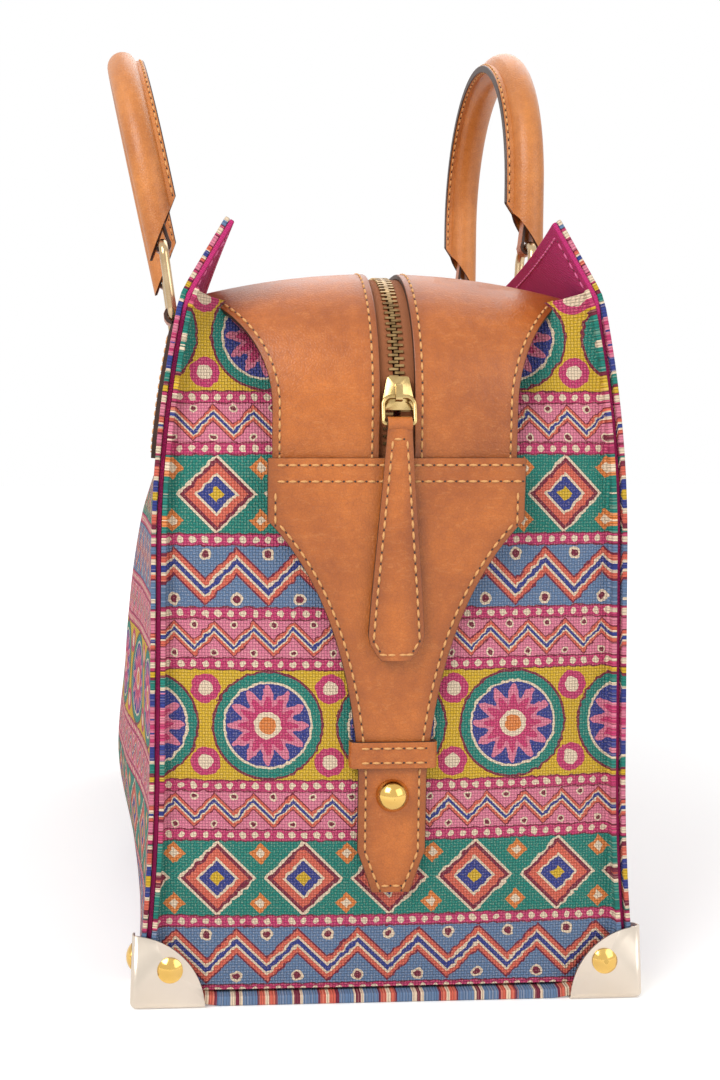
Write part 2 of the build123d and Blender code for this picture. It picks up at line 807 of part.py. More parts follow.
pieces = {
    "front_panel": front_panel,
    "back_panel": back_panel,
    "front_lining": front_lining,
    "back_lining": back_lining,
    "right_gusset": right_gusset,
    "left_gusset": left_gusset,
    "base_panel": base_panel,
    "base_board": base_board,
    "front_top_leather": front_top_leather,
    "back_top_leather": back_top_leather,
    "front_zip_tape": front_zip_tape,
    "back_zip_tape": back_zip_tape,
    "front_zip_teeth": front_zip_teeth,
    "back_zip_teeth": back_zip_teeth,
    "zip_slider": zip_slider,
    "pull_ring": pull_ring,
    "zip_pull": zip_pull,
    "right_end_tab": right_end_tab,
    "left_end_tab": left_end_tab,
    "right_keeper": right_keeper,
    "left_keeper": left_keeper,
    "right_stud": right_stud,
    "left_stud": left_stud,
    "right_back_corner": right_back_corner,
    "left_back_corner": left_back_corner,
    "right_front_corner": right_front_corner,
    "left_front_corner": left_front_corner,
    "corner_rivets": corner_rivets,
    "right_back_ring": right_back_ring,
    "left_back_ring": left_back_ring,
    "right_front_ring": right_front_ring,
    "left_front_ring": left_front_ring,
    "right_back_chape": right_back_chape,
    "left_back_chape": left_back_chape,
    "right_front_chape": right_front_chape,
    "left_front_chape": left_front_chape,
    "front_handle": front_handle,
    "back_handle": back_handle,
}
os.makedirs("parts", exist_ok=True)
for name, piece in pieces.items():
    piece.part.label = name
    export_step(piece.part, f"parts/{name}.step")
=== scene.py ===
# %% [markdown]
# # A canvas tote bag with leather trim
# The CAD model gives every piece its place and size, and this lesson dresses it: printed canvas walls,
# a zipped leather top, sewn tabs, rolled handles and polished metal. All lengths are metres in the CAD
# model's own frame, so a piece that is made from the same measures lands where the solid is.

# %% Load the frame
from math import cos, pi, radians, sin, sqrt, tan

import bmesh
import bpy
from mathutils import Matrix, Vector


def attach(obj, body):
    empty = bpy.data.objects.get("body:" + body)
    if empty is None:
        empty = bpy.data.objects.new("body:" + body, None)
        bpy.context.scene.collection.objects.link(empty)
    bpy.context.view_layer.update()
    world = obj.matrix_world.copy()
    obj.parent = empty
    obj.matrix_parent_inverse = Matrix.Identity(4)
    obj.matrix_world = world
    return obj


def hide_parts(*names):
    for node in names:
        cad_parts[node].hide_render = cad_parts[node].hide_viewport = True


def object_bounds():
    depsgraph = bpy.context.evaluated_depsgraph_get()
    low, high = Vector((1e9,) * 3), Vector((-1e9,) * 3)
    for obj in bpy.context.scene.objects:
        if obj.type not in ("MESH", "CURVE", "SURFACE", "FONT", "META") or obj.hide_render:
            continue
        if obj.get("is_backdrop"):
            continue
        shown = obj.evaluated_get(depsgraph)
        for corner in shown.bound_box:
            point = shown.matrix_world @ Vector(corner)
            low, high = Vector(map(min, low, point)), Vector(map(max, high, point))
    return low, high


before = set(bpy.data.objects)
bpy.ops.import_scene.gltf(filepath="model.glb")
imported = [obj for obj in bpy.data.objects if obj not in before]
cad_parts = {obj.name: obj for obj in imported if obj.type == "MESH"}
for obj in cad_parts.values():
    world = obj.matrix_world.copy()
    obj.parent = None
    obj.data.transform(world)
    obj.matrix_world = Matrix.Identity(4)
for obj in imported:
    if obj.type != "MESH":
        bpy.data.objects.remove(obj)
cad_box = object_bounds()
mm = 0.001

# %% [markdown]
# ## Finishes as arithmetic
# A material is a network of small sums. Writing each node by hand hides the idea, so one class stands for
# a number that changes over the surface: adding, comparing or multiplying it adds the Math node that does
# so. Every other node comes from one method, which takes the node's kind, its settings and its sockets.


# %% A number on the surface, and a finish
class Value:
    """A socket that takes part in arithmetic."""

    def __init__(self, finish, socket):
        self.finish = finish
        self.socket = socket

    def math(self, operation, other, swap=False):
        terms = (other, self) if swap else (self, other)
        return self.finish.math(operation, *terms)

    def __add__(self, other):
        return self.math("ADD", other)

    def __sub__(self, other):
        return self.math("SUBTRACT", other)

    def __rsub__(self, other):
        return self.math("SUBTRACT", other, swap=True)

    def __mul__(self, other):
        return self.math("MULTIPLY", other)

    def __truediv__(self, other):
        return self.math("DIVIDE", other)

    def __pow__(self, other):
        return self.math("POWER", other)

    def __mod__(self, other):
        return self.math("FLOORED_MODULO", other)

    def __lt__(self, other):
        return self.math("LESS_THAN", other)

    def __gt__(self, other):
        return self.math("GREATER_THAN", other)

    def __or__(self, other):
        return self.math("MAXIMUM", other)

    def __abs__(self):
        return self.finish.math("ABSOLUTE", self)

    __radd__ = __add__
    __rmul__ = __mul__


class Finish:
    """A material, or the sky, whose nodes are made one way."""

    def __init__(self, name, holder=None, shader="Principled BSDF"):
        self.material = holder or bpy.data.materials.new(name)
        self.material.use_nodes = True
        self.tree = self.material.node_tree
        self.shader = self.tree.nodes[shader]

    def node(self, kind, settings=None, sockets=None, out=0):
        made = self.tree.nodes.new("ShaderNode" + kind)
        for key, value in (settings or {}).items():
            setattr(made, key, value)
        for key, value in (sockets or {}).items():
            self.plug(made.inputs[key], value)
        return Value(self, made.outputs[out])

    def plug(self, socket, value):
        if isinstance(value, Value):
            self.tree.links.new(value.socket, socket)
        else:
            socket.default_value = value

    def math(self, operation, *terms):
        return self.node("Math", {"operation": operation}, dict(enumerate(terms)))

    def mix(self, share, first, second, blend="MIX"):
        settings = {"data_type": "RGBA", "blend_type": blend}
        return self.node("Mix", settings, {0: share, 6: first, 7: second}, out=2)

    def noise(self, where, scale, detail=3.0, distortion=0.0):
        sockets = {"Vector": where, "Scale": scale, "Detail": detail, "Distortion": distortion}
        return self.node("TexNoise", None, sockets)

    def bump(self, height, depth, strength=1.0):
        return self.node("Bump", None, {"Height": height, "Distance": depth, "Strength": strength})

    def surface(self, **sockets):
        for key, value in sockets.items():
            self.plug(self.shader.inputs[key.replace("_", " ").title()], value)
        return self.material


def place(finish):
    """The object's own coordinates, in metres."""
    return finish.node("TexCoord", out=3)


def cloth_place(finish):
    """Across and up the cloth in millimetres, from the piece's own map."""
    where = finish.node("UVMap", {"uv_map": "print"})
    parts = [finish.node("SeparateXYZ", None, {0: where}, out=axis) * 1000 for axis in (0, 1)]
    return where, parts[0], parts[1]


print("arithmetic ready")

# %% [markdown]
# ## Leather
# Vegetable-tanned leather is tan with slow clouds of darker dye, a fine pebbled grain and a soft wax
# sheen. Two noises make the clouds, a cell pattern seen by its cell walls makes the grain, and both
# also move the roughness. The cut edges are painted dark, so they have a finish of their own.


# %% Leather, painted edge and thread
def leather(name, dark, light):
    finish = Finish(name)
    where = place(finish)
    edge_darkening = finish.node("SeparateXYZ", None, {0: finish.node("UVMap", {"uv_map": "print"})})
    cloud = finish.noise(where, 26.0, 6.0, 0.4)
    fine = finish.noise(where, 240.0, 4.0, 0.3)
    drawn = finish.node("Mapping", None, {"Vector": where, "Scale": (1.0, 0.35, 1.6)})
    crease = abs(finish.noise(drawn, 210.0, 6.0, 1.8) - 0.5)
    cells = finish.node("TexVoronoi", {"feature": "DISTANCE_TO_EDGE"}, {"Vector": where, "Scale": 820.0})
    shade = ((cloud - 0.5) * 1.7 + (fine - 0.5) * 0.7 + 0.55) | 0.0
    deep = (dark[0] * 0.45, dark[1] * 0.4, dark[2] * 0.4, 1)
    colour = finish.mix(shade, dark, light)
    colour = finish.mix((cells < 0.05) * 0.2, colour, deep)
    colour = finish.mix((crease < 0.012) * (fine > 0.5) * 0.16, colour, (0.72, 0.31, 0.1, 1))
    # Darker within a few millimetres of each edge, as the piece's map gives it.
    colour = finish.mix(edge_darkening * 0.55, colour, deep)
    height = cells * 1.1 + fine * 0.8 + cloud * 0.5 + (crease < 0.02) * 0.2
    return finish.surface(
        base_color=colour,
        roughness=0.3 + fine * 0.2 + cloud * 0.08,
        normal=finish.bump(height, 0.0005, 0.35),
        coat_weight=0.14,
        coat_roughness=0.28,
    )


def plain_grain(name, colour, roughness, scale, depth, variation=0.35):
    """A finish of one colour with a little grain, for paint, thread and board."""
    finish = Finish(name)
    grain = finish.noise(place(finish), scale, 4.0)
    dull = tuple(channel * (1 - variation) for channel in colour[:3]) + (1,)
    return finish.surface(
        base_color=finish.mix(grain, dull, colour),
        roughness=roughness + grain * 0.15,
        normal=finish.bump(grain, depth),
    )


tan_leather = leather("tan_leather", (0.29, 0.064, 0.006, 1), (0.56, 0.155, 0.02, 1))
handle_leather = leather("handle_leather", (0.38, 0.108, 0.014, 1), (0.66, 0.235, 0.05, 1))
# Dark paint for the cut edges; the stitches also use it as painted shade in their needle holes.
edge_paint_and_hole_shade = plain_grain("edge_paint_and_hole_shade", (0.05, 0.018, 0.009, 1), 0.4, 600.0, 0.0001)
thread = plain_grain("thread", (0.8, 0.4, 0.14, 1), 0.6, 2500.0, 0.0001)
pink_thread = plain_grain("pink_thread", (0.8, 0.16, 0.36, 1), 0.6, 2500.0, 0.0001)
board = plain_grain("board", (0.07, 0.07, 0.075, 1), 0.7, 300.0, 0.0002)
print("leather, paint, thread and board")

# %% [markdown]
# ## Printed canvas
# The canvas is printed in level bands that run right round the bag, as on a striped rug: zigzags, lozenges
# and starred rounds in turn, with a beaded ribbon between two bands. An image would fix its size, so the
# print is drawn with distances: the height on the cloth says which band a point is in, and a remainder along
# the band repeats one motif. The coarse plain weave lifts each thread over the next and wears its crown pale,
# and painted shade darkens the hollows between the threads.

# %% Motifs
ROSE = (0.58, 0.04, 0.15, 1)
PINK = (0.74, 0.2, 0.3, 1)
TEAL = (0.008, 0.22, 0.17, 1)
SLATE = (0.13, 0.215, 0.37, 1)
MUSTARD = (0.7, 0.43, 0.018, 1)
CORAL = (0.72, 0.13, 0.08, 1)
NAVY = (0.03, 0.045, 0.25, 1)
CREAM = (0.85, 0.66, 0.47, 1)
ORANGE = (0.76, 0.22, 0.045, 1)
WINE = (0.2, 0.012, 0.04, 1)


def repeat(value, pitch, shift=0.0):
    """Distance from the middle of the repeat that a value lies in."""
    return (value + (shift + pitch / 2)) % pitch - pitch / 2


def distance(first, second):
    """Length of the line that is so far along and so far off."""
    return (first * first + second * second) ** 0.5


def nested(finish, ground, measure, unit, rings):
    """Paints one ring inside the next; each covers what measures less than its share of a unit."""
    for share, paint in rings:
        ground = finish.mix(measure < share * unit, ground, paint)
    return ground


BAY_SHARE = 0.36
GAP_SHARE = 0.3
STAR_RAYS = 12.0
RAY_SHARE = 0.22


def zigzag(finish, ground, along, off, pitch):
    """A broad zigzag line with a dot in each of its bays."""
    peak, valley = repeat(along, pitch), repeat(along, pitch, pitch / 2)
    line = abs(off - (abs(peak) - pitch / 4))
    dots = ((0.1, CREAM), (0.06, WINE))
    colour = nested(finish, ground, distance(peak, off - pitch * BAY_SHARE), pitch, dots)
    colour = nested(finish, colour, distance(valley, off + pitch * BAY_SHARE), pitch, dots)
    return nested(finish, colour, line, pitch, ((0.23, WINE), (0.19, CORAL), (0.1, CREAM), (0.05, NAVY)))


def lozenges(finish, ground, along, off, pitch):
    """A row of stepped lozenges with a small square on its point between each two."""
    tall = abs(repeat(along, pitch)) + abs(off)
    small = abs(repeat(along, pitch, pitch / 2)) + abs(abs(off) - pitch * GAP_SHARE)
    colour = nested(finish, ground, small, pitch, ((0.13, ORANGE), (0.06, CREAM)))
    steps = ((0.46, CREAM), (0.42, WINE), (0.36, CORAL), (0.25, CREAM), (0.21, NAVY), (0.09, MUSTARD))
    return nested(finish, colour, tall, pitch, steps)


def rounds(finish, ground, along, off, pitch):
    """A row of rounds with a star of twelve rays in each, and small rings between them."""
    near, between = repeat(along, pitch), repeat(along, pitch, pitch / 2)
    rays = finish.math("COSINE", finish.math("ARCTAN2", off, near) * STAR_RAYS)
    radius = distance(near, off)
    small = distance(between, abs(off) - pitch * GAP_SHARE)
    colour = nested(finish, ground, small, pitch, ((0.12, ROSE), (0.06, CREAM)))
    colour = nested(finish, colour, radius, pitch, ((0.45, WINE), (0.43, TEAL), (0.36, CREAM), (0.34, NAVY)))
    colour = nested(finish, colour, radius / (rays * RAY_SHARE + 1.0), pitch, ((0.27, PINK), (0.2, ROSE)))
    return nested(finish, colour, radius, pitch, ((0.11, CREAM), (0.07, ORANGE)))


print("motifs ready")

# %% The print and its weave
BANDS = (
    (26.0, SLATE, zigzag, 22.0),
    (32.0, TEAL, lozenges, 31.0),
    (18.0, PINK, zigzag, 14.0),
    (44.0, MUSTARD, rounds, 44.0),
    (18.0, PINK, zigzag, 14.0),
)
PRINT_HEIGHT = sum(band[0] for band in BANDS)
INK_WANDER = 2.1
RIBBON = ((2.3, WINE), (1.8, ROSE))
BEAD_PITCH = 4.4
BEAD_RADIUS = 1.2
THREAD_PITCH = 1.05


def weave(finish, across, up, pitch):
    """Height of a plain weave, from 0 between the threads to 1 on their crowns."""
    column, row = across / pitch, up / pitch
    over = (finish.math("FLOOR", column) + finish.math("FLOOR", row)) % 2.0
    warp = abs(finish.math("SINE", column * pi))
    weft = abs(finish.math("SINE", row * pi))
    return (warp * over + weft * (1 - over)) * 0.7 + warp * weft * 0.3


def printed_canvas(name):
    finish = Finish(name)
    where, flat_across, flat_up = cloth_place(finish)
    wander = (finish.noise(where, 380.0, 3.0) - 0.5) * INK_WANDER
    across, level = flat_across + wander, (flat_up - wander) % PRINT_HEIGHT
    bead = repeat(across, BEAD_PITCH)
    colour, foot, feet = ROSE, 0.0, []
    for width, ground, motif, pitch in BANDS:
        drawn = motif(finish, ground, across, level - (foot + width / 2), pitch)
        colour = finish.mix(level > foot, colour, drawn)
        feet.append(foot)
        foot += width
    for foot in feet:
        off = repeat(level - foot, PRINT_HEIGHT)
        colour = nested(finish, colour, abs(off), 1.0, RIBBON)
        colour = finish.mix(distance(bead, off) < BEAD_RADIUS, colour, CREAM)
    threads = weave(finish, flat_across, flat_up, THREAD_PITCH)
    patch = finish.noise(where, 34.0, 4.0)
    speck = finish.noise(where, 1500.0, 2.0)
    colour = finish.mix((threads > 0.62) * (speck > 0.53) * 0.17, colour, CREAM)
    # Painted shade: darker in the hollows between the threads and less on their crowns, with random patches
    # of tone.
    colour = finish.mix(1.0, colour, 0.42 + threads * 0.46 + patch * 0.2, "MULTIPLY")
    height = threads + speck * 0.35
    return finish.surface(
        base_color=colour, roughness=0.78 + speck * 0.15, normal=finish.bump(height, 0.00045, 0.8)
    )


def plain_weave(name, colour, pitch, slant=0.0):
    """Cloth of one colour: lining, or tape with a slanting rib."""
    finish = Finish(name)
    where, across, up = cloth_place(finish)
    threads = weave(finish, across + abs(repeat(up, 3.0)) * slant, up, pitch)
    patch = finish.noise(where, 120.0, 4.0)
    # Painted shade: darker in the hollows between the threads and less on their crowns, with random patches
    # of tone.
    shade = 0.5 + threads * 0.45 + patch * 0.2
    return finish.surface(
        base_color=finish.mix(1.0, colour, shade, "MULTIPLY"),
        roughness=0.8 + patch * 0.1,
        normal=finish.bump(threads, 0.0003, 0.7),
    )


canvas_print = printed_canvas("canvas_print")
lining_cloth = plain_weave("lining_cloth", (0.52, 0.018, 0.15, 1), 0.55)
tape_cloth = plain_weave("tape_cloth", (0.4, 0.13, 0.045, 1), 0.45, slant=0.6)
print("canvas nodes:", len(canvas_print.node_tree.nodes))

# %% [markdown]
# ## Metal
# The corners are thin pale-gold plate, the studs and rings polished brass, and the zip an aged brass that
# is darker where hands don't rub it. A metal needs something to mirror and a roughness that isn't even,
# so a slow noise dulls it in places and a fine one leaves hairline marks.


# %% Brass and plate
def metal(name, bright, dull, roughness, scale=90.0):
    finish = Finish(name)
    where = place(finish)
    cloud = finish.noise(where, scale, 5.0)
    marks = finish.noise(where, scale * 14, 2.0)
    return finish.surface(
        base_color=finish.mix((cloud - 0.35) * 1.6 | 0.0, dull, bright),
        roughness=roughness + cloud * 0.12 + marks * 0.05,
        normal=finish.bump(marks * 0.3 + cloud, 0.0002, 0.25),
        metallic=1.0,
    )


corner_gold = metal("corner_gold", (0.75, 0.67, 0.58, 1), (0.66, 0.57, 0.47, 1), 0.22, 40.0)
stud_brass = metal("stud_brass", (0.85, 0.58, 0.2, 1), (0.72, 0.45, 0.12, 1), 0.07)
ring_brass = metal("ring_brass", (0.72, 0.55, 0.36, 1), (0.5, 0.35, 0.19, 1), 0.14)
zip_brass = metal("zip_brass", (0.62, 0.42, 0.19, 1), (0.2, 0.12, 0.05, 1), 0.26, 260.0)
slider_brass = metal("slider_brass", (0.72, 0.54, 0.26, 1), (0.45, 0.31, 0.12, 1), 0.16, 200.0)
print("metals ready")

# %% [markdown]
# ## One way to make a sheet
# Canvas and leather are sheets that were cut, sewn and bent. Each starts as a square grid; a function says
# where every point of the square goes, and Solidify gives the sheet its thickness behind the face. The rim
# takes the next material, which is how a painted leather edge appears, and Bevel takes its sharpness off.


# %% Sheets, straps and finished pieces
def finish_piece(shape, name, body, materials, nodes=()):
    """Mesh object that rides on a body and stands for its CAD nodes."""
    mesh = bpy.data.meshes.new(name)
    shape.to_mesh(mesh)
    shape.free()
    for material in materials:
        mesh.materials.append(material)
    mesh.polygons.foreach_set("use_smooth", [True] * len(mesh.polygons))
    piece = bpy.data.objects.new(name, mesh)
    bpy.context.scene.collection.objects.link(piece)
    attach(piece, body)
    if nodes:
        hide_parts(*nodes)
    return piece


def thicken(piece, thickness, bevel, offset=-1.0, even=True):
    """Thickness behind a sheet's face, and rounded edges."""
    wall = piece.modifiers.new("wall", "SOLIDIFY")
    wall.thickness = thickness
    wall.offset = offset
    wall.use_even_offset = even
    wall.material_offset_rim = len(piece.data.materials) - 1
    edge = piece.modifiers.new("edge", "BEVEL")
    edge.width = bevel
    edge.segments = 2
    edge.limit_method = "ANGLE"
    edge.angle_limit = radians(50)
    edge.harden_normals = True
    return piece


def leather_piece(shape, name, body, thickness, bevel, nodes=(), offset=-1.0):
    """Piece of tan leather with a painted edge."""
    piece = finish_piece(shape, name, body, [tan_leather, edge_paint_and_hole_shade], nodes)
    return thicken(piece, thickness, bevel, offset)


def sheet(columns, rows, spot, map_spot):
    """Grid whose points go where spot says; map_spot gives their place on the flat cloth."""
    shape = bmesh.new()
    bmesh.ops.create_grid(shape, x_segments=columns, y_segments=rows, size=0.5)
    layer = shape.loops.layers.uv.new("print")
    flat = {}
    for vertex in shape.verts:
        u, w = vertex.co.x + 0.5, vertex.co.y + 0.5
        flat[vertex] = map_spot(u, w)
        vertex.co = spot(u, w)
    for face in shape.faces:
        for loop in face.loops:
            loop[layer].uv = flat[loop.vert]
    return shape


EDGE_DARK_WIDTH = 7 * mm


def edge_darkening(inset):
    """How much darker the leather is at an inset from its edge; the leather reads it as the map's first
    number.
    """
    return max(0.0, 1 - inset / EDGE_DARK_WIDTH), 0.0


def strap(path, across, width):
    """Ribbon along a path, as wide as it is told in one direction."""
    shape = bmesh.new()
    half = across.normalized() * width / 2
    ends = [shape.verts.new(path[0] - half), shape.verts.new(path[0] + half)]
    edges = [shape.edges.new(ends)]
    for here, there in zip(path, path[1:]):
        grown = bmesh.ops.extrude_edge_only(shape, edges=edges)["geom"]
        moved = [item for item in grown if isinstance(item, bmesh.types.BMVert)]
        bmesh.ops.translate(shape, verts=moved, vec=there - here)
        edges = [item for item in grown if isinstance(item, bmesh.types.BMEdge)]
    bmesh.ops.recalc_face_normals(shape, faces=shape.faces)
    return shape


def clean_copy(node, body, material, bevel=0.0):
    """Copy of a hard CAD node, joined up so that its curves shade smoothly."""
    shape = bmesh.new()
    shape.from_mesh(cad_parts[node].data)
    bmesh.ops.remove_doubles(shape, verts=shape.verts, dist=1e-6)
    piece = finish_piece(shape, node + "_dressed", body, [material], [node])
    piece.data.set_sharp_from_angle(angle=radians(32))
    if bevel:
        edge = piece.modifiers.new("edge", "BEVEL")
        edge.width = bevel
        edge.segments = 1
    return piece


print("makers ready")

# %% [markdown]
# ## Stitches
# A row of stitches is what makes leather look sewn, and each one is a small grain of thread. A line of
# points with their surface normals is walked at an even pitch, and each step gets a stretched sphere of a
# few faces that lies along the line and is half sunk in the leather. Between two stitches a smaller dark
# grain is painted shade in the needle hole.

# %% Rows of stitches
STITCH_PITCH = 3.9 * mm
STITCH_LENGTH = 3.1 * mm
STITCH_WIDTH = 0.95 * mm
# Size of the small dark grain that is painted shade in each needle hole.
NEEDLE_HOLE_SHADE = (0.9 * mm, 0.8 * mm, 0.2 * mm)


def walk(line, pitch):
    """Points at an even pitch along a line of (point, normal)."""
    left = pitch / 2
    for (start, normal), (end, _) in zip(line, line[1:]):
        span = (end - start).length
        if span == 0:
            continue
        while left <= span:
            yield start.lerp(end, left / span), (end - start).normalized(), normal
            left += pitch
        left -= span


def grain(shape, point, along, normal, size):
    """Small sphere stretched along a line, across it and off the surface; gives its vertices."""
    side = normal.cross(along).normalized()
    turn = Matrix((along * size[0], side * size[1], normal * size[2])).transposed()
    spot = Matrix.Translation(point) @ turn.to_4x4()
    return bmesh.ops.create_uvsphere(shape, u_segments=6, v_segments=4, radius=0.5, matrix=spot)["verts"]


def stitches(name, body, lines, strand=thread):
    """One piece that holds every stitch of the given lines."""
    shape = bmesh.new()
    for line in lines:
        for point, along, normal in walk(line, STITCH_PITCH):
            grain(shape, point, along, normal, (STITCH_LENGTH, STITCH_WIDTH, STITCH_WIDTH))
            # Between two stitches a small dark grain is painted shade in the needle hole.
            hole_shade = grain(shape, point + along * STITCH_PITCH / 2, along, normal, NEEDLE_HOLE_SHADE)
            for face in {face for vertex in hole_shade for face in vertex.link_faces}:
                face.material_index = 1
    print(name, len(shape.faces) // 48, "stitches")
    return finish_piece(shape, name, body, [strand, edge_paint_and_hole_shade])


def rows_of(surface, edges, count=90):
    """Lines on a surface: each edge is a function of 0..1 that gives the surface's own two coordinates."""
    small = 1e-3
    lines = []
    for edge in edges:
        line = []
        for index in range(count + 1):
            a, b = edge(index / count)
            point = surface(a, b)
            normal = (surface(a + small, b) - point).cross(surface(a, b + small) - point).normalized()
            line.append((point, normal))
        lines.append(line)
    return lines


print("stitch makers ready")

# %% [markdown]
# ## Canvas walls
# Front and back are one long piece each, stiffened, with a foot that spreads, a waist, a shoulder that
# leans in and ears that fold further. The wall's line is a chain of arcs, each with a length and the lean
# at its two ends. The cloth bellies out a little between its seams, because a filled bag is never flat.

# %% Wall line
LENGTH = 370 * mm
HALF = LENGTH / 2
BASE = 4.6 * mm
BASE_HALF = 91.5 * mm
WALL_RUNS = (
    (80.63, 7.11, 0.716),
    (80.01, 0.716, 0.716),
    (85.67, 0.716, 12.04),
    (8.29, 12.04, 31.04),
    (27.0, 31.04, 31.04),
)
TOP_MIDDLE = 266.3 * mm
TOP_DIP = 14.5 * mm
WALL_STEP = 0.5 * mm
WALL_LENGTH = sum(length for length, _, _ in WALL_RUNS) * mm
CANVAS = 1.8 * mm


def wall_lean(run):
    """Lean from the upright, towards the bag's middle, at a run from the foot."""
    for length, first, last in WALL_RUNS:
        if run <= length * mm:
            break
        run -= length * mm
    return radians(first + (last - first) * min(run / (length * mm), 1.0))


def trace_wall():
    """Half-widths and heights of the wall's outer face at even steps."""
    line = [(BASE_HALF, BASE)]
    for index in range(int(WALL_LENGTH / WALL_STEP) + 1):
        lean = wall_lean((index + 0.5) * WALL_STEP)
        y, z = line[-1]
        line.append((y - sin(lean) * WALL_STEP, z + cos(lean) * WALL_STEP))
    return line


WALL_LINE = trace_wall()


def wall_at(run, depth):
    """Half-width, height and lean of the wall at a run from its foot, at a depth below its outer face."""
    index = min(int(run / WALL_STEP), len(WALL_LINE) - 2)
    t = run / WALL_STEP - index
    y, z = (a + (b - a) * t for a, b in zip(WALL_LINE[index], WALL_LINE[index + 1]))
    lean = wall_lean(run)
    return y - depth * cos(lean), z - depth * sin(lean), lean


def wall_run(height, depth=0.0):
    """Run at which the wall reaches a height."""
    low, high = 0.0, WALL_LENGTH
    for _ in range(24):
        middle = (low + high) / 2
        low, high = (middle, high) if wall_at(middle, depth)[1] < height else (low, middle)
    return low


def wall_top(x):
    """Height of the dipped top edge."""
    return TOP_MIDDLE + TOP_DIP * (x / HALF) ** 2


def curve(knots, at):
    """Smooth curve through (place, value) knots."""
    index = max(i for i in range(len(knots) - 1) if i == 0 or at >= knots[i][0])
    (x0, y0), (x1, y1) = knots[index], knots[index + 1]
    before, after = knots[max(index - 1, 0)], knots[min(index + 2, len(knots) - 1)]
    t = (at - x0) / (x1 - x0)
    first = (y1 - before[1]) / (x1 - before[0]) * (x1 - x0)
    last = (after[1] - y0) / (after[0] - x0) * (x1 - x0)
    blend = 3 * t * t - 2 * t ** 3
    return y0 + (y1 - y0) * blend + first * t * (1 - t) ** 2 - last * t * t * (1 - t)


BELLY = (
    (0, 0), (20, 9.5), (48, 16.5), (90, 15.5), (130, 12),
    (165, 7), (186, 2), (198, 0), (240, 0), (300, 0),
)
BELLY_SPAN = 158 * mm
RIPPLES = ((0.07, 38, 0, 1.0), (0.05, 71, 40, 0.0))


def belly(x, run):
    """How far the cloth sags out between its seams and below the sewn leather."""
    if abs(x) >= BELLY_SPAN:
        return 0.0
    across = cos(pi / 2 * x / BELLY_SPAN) ** 1.5
    ripple = sum(share * sin(x * along + run * up + lag) for share, along, up, lag in RIPPLES)
    return max(curve(BELLY, run / mm), 0.0) * mm * across * (1 + ripple)


TOP_RUNS = {}
LINING_TUCK = 2.2 * mm
TUCK_TOP = 252 * mm
TUCK_FADE = 8 * mm
HEM_INSET = 4 * mm
EAR_FOOT_SHARE = 0.91
HEM_SHARE = 0.9855


def wall_spot(side, x, share, depth):
    """Point of a wall at a share of the way up its line, and the run to it."""
    key = round(x, 5)
    if key not in TOP_RUNS:
        TOP_RUNS[key] = wall_run(wall_top(x))
    run = share * TOP_RUNS[key]
    y, z, _ = wall_at(run, depth - belly(x, run))
    return Vector((x, side * y, z)), run


for side, word in ((-1, "front"), (1, "back")):

    def outside(u, w):
        return wall_spot(side, -side * (u - 0.5) * LENGTH, w, 0.0)[0]

    def outside_map(u, w):
        return (u - 0.5) * LENGTH, wall_spot(side, (u - 0.5) * LENGTH, w, 0.0)[1]

    def inside(u, w):
        spot = wall_spot(side, side * (u - 0.5) * LENGTH, w, 2 * CANVAS)[0]
        tucked = min(max((TUCK_TOP - spot.z) / TUCK_FADE, 0.0), 1.0)
        spot.x *= 1 - tucked * LINING_TUCK / HALF
        return spot

    cloth = sheet(64, 56, outside, outside_map)
    panel = finish_piece(cloth, word + "_wall", "bag", [canvas_print], [word + "_panel"])
    thicken(panel, CANVAS, 0.5 * mm)
    cloth = sheet(64, 56, inside, outside_map)
    name, node = word + "_wall_lining", word + "_lining"
    lining = finish_piece(cloth, name, "bag", [lining_cloth], [node])
    thicken(lining, CANVAS * 0.97, 0.5 * mm)

    def ear_row(x, share):
        spot, run = wall_spot(side, x, share, 2 * CANVAS)
        lean = wall_lean(run)
        return spot, Vector((0, -side * cos(lean), -sin(lean)))

    hem = HALF - HEM_INSET
    climb = [EAR_FOOT_SHARE + (HEM_SHARE - EAR_FOOT_SHARE) * step / 12 for step in range(13)]
    rows = [[ear_row(end * hem, share) for share in climb] for end in (1, -1)]
    rows.append([ear_row(hem * (1 - step / 40), HEM_SHARE) for step in range(81)])
    stitches(word + "_hem_stitches", "bag", rows, pink_thread)
print("walls and linings")

# %% [markdown]
# ## End gussets and base
# A gusset is the strip that closes the end. Its edges turn out and are sewn to the walls as a flange, its
# middle is blown out by what the bag holds, and its top folds in under the leather. The base is a stiff
# sheet with shallow seats where the metal corners are let in.

# %% Gussets
GUSSET_EDGE = 181 * mm
GUSSET_TOP = 250 * mm
BULGE = 8.3 * mm
BULGE_SHARES = ((0.0, 0.07), (0.16, 0.5), (0.39, 0.84), (0.63, 1.0), (0.82, 0.6), (1.0, -3.6))
CORNER_RISE = 6 * mm
FLANGE_SHARE = 0.1
FLANGE_ROUND = 2.2 * mm
TURN_SHARE = 0.6
FREE_SHARE = 0.62
PUCKER = 0.5 * mm
PUCKER_RATE = 160
BEND_X = 144.97 * mm
BEND_Z = 216 * mm
BEND_R = 50 * mm
CROWN_R = 280 * mm
LEATHER = 2 * mm


def crown_sag(y):
    """How much lower the crowned leather is at a distance from its middle line."""
    return CROWN_R - sqrt(CROWN_R ** 2 - y * y)


def under_leather(y, height):
    """How far along the bag the leather's hidden face is, across the bag and at a height."""
    radius = BEND_R - crown_sag(y) - 1.5 * LEATHER
    return BEND_X + sqrt(max(radius ** 2 - max(height - BEND_Z, 0.0) ** 2, 0.0))


GUSSET_WIDTHS = {}


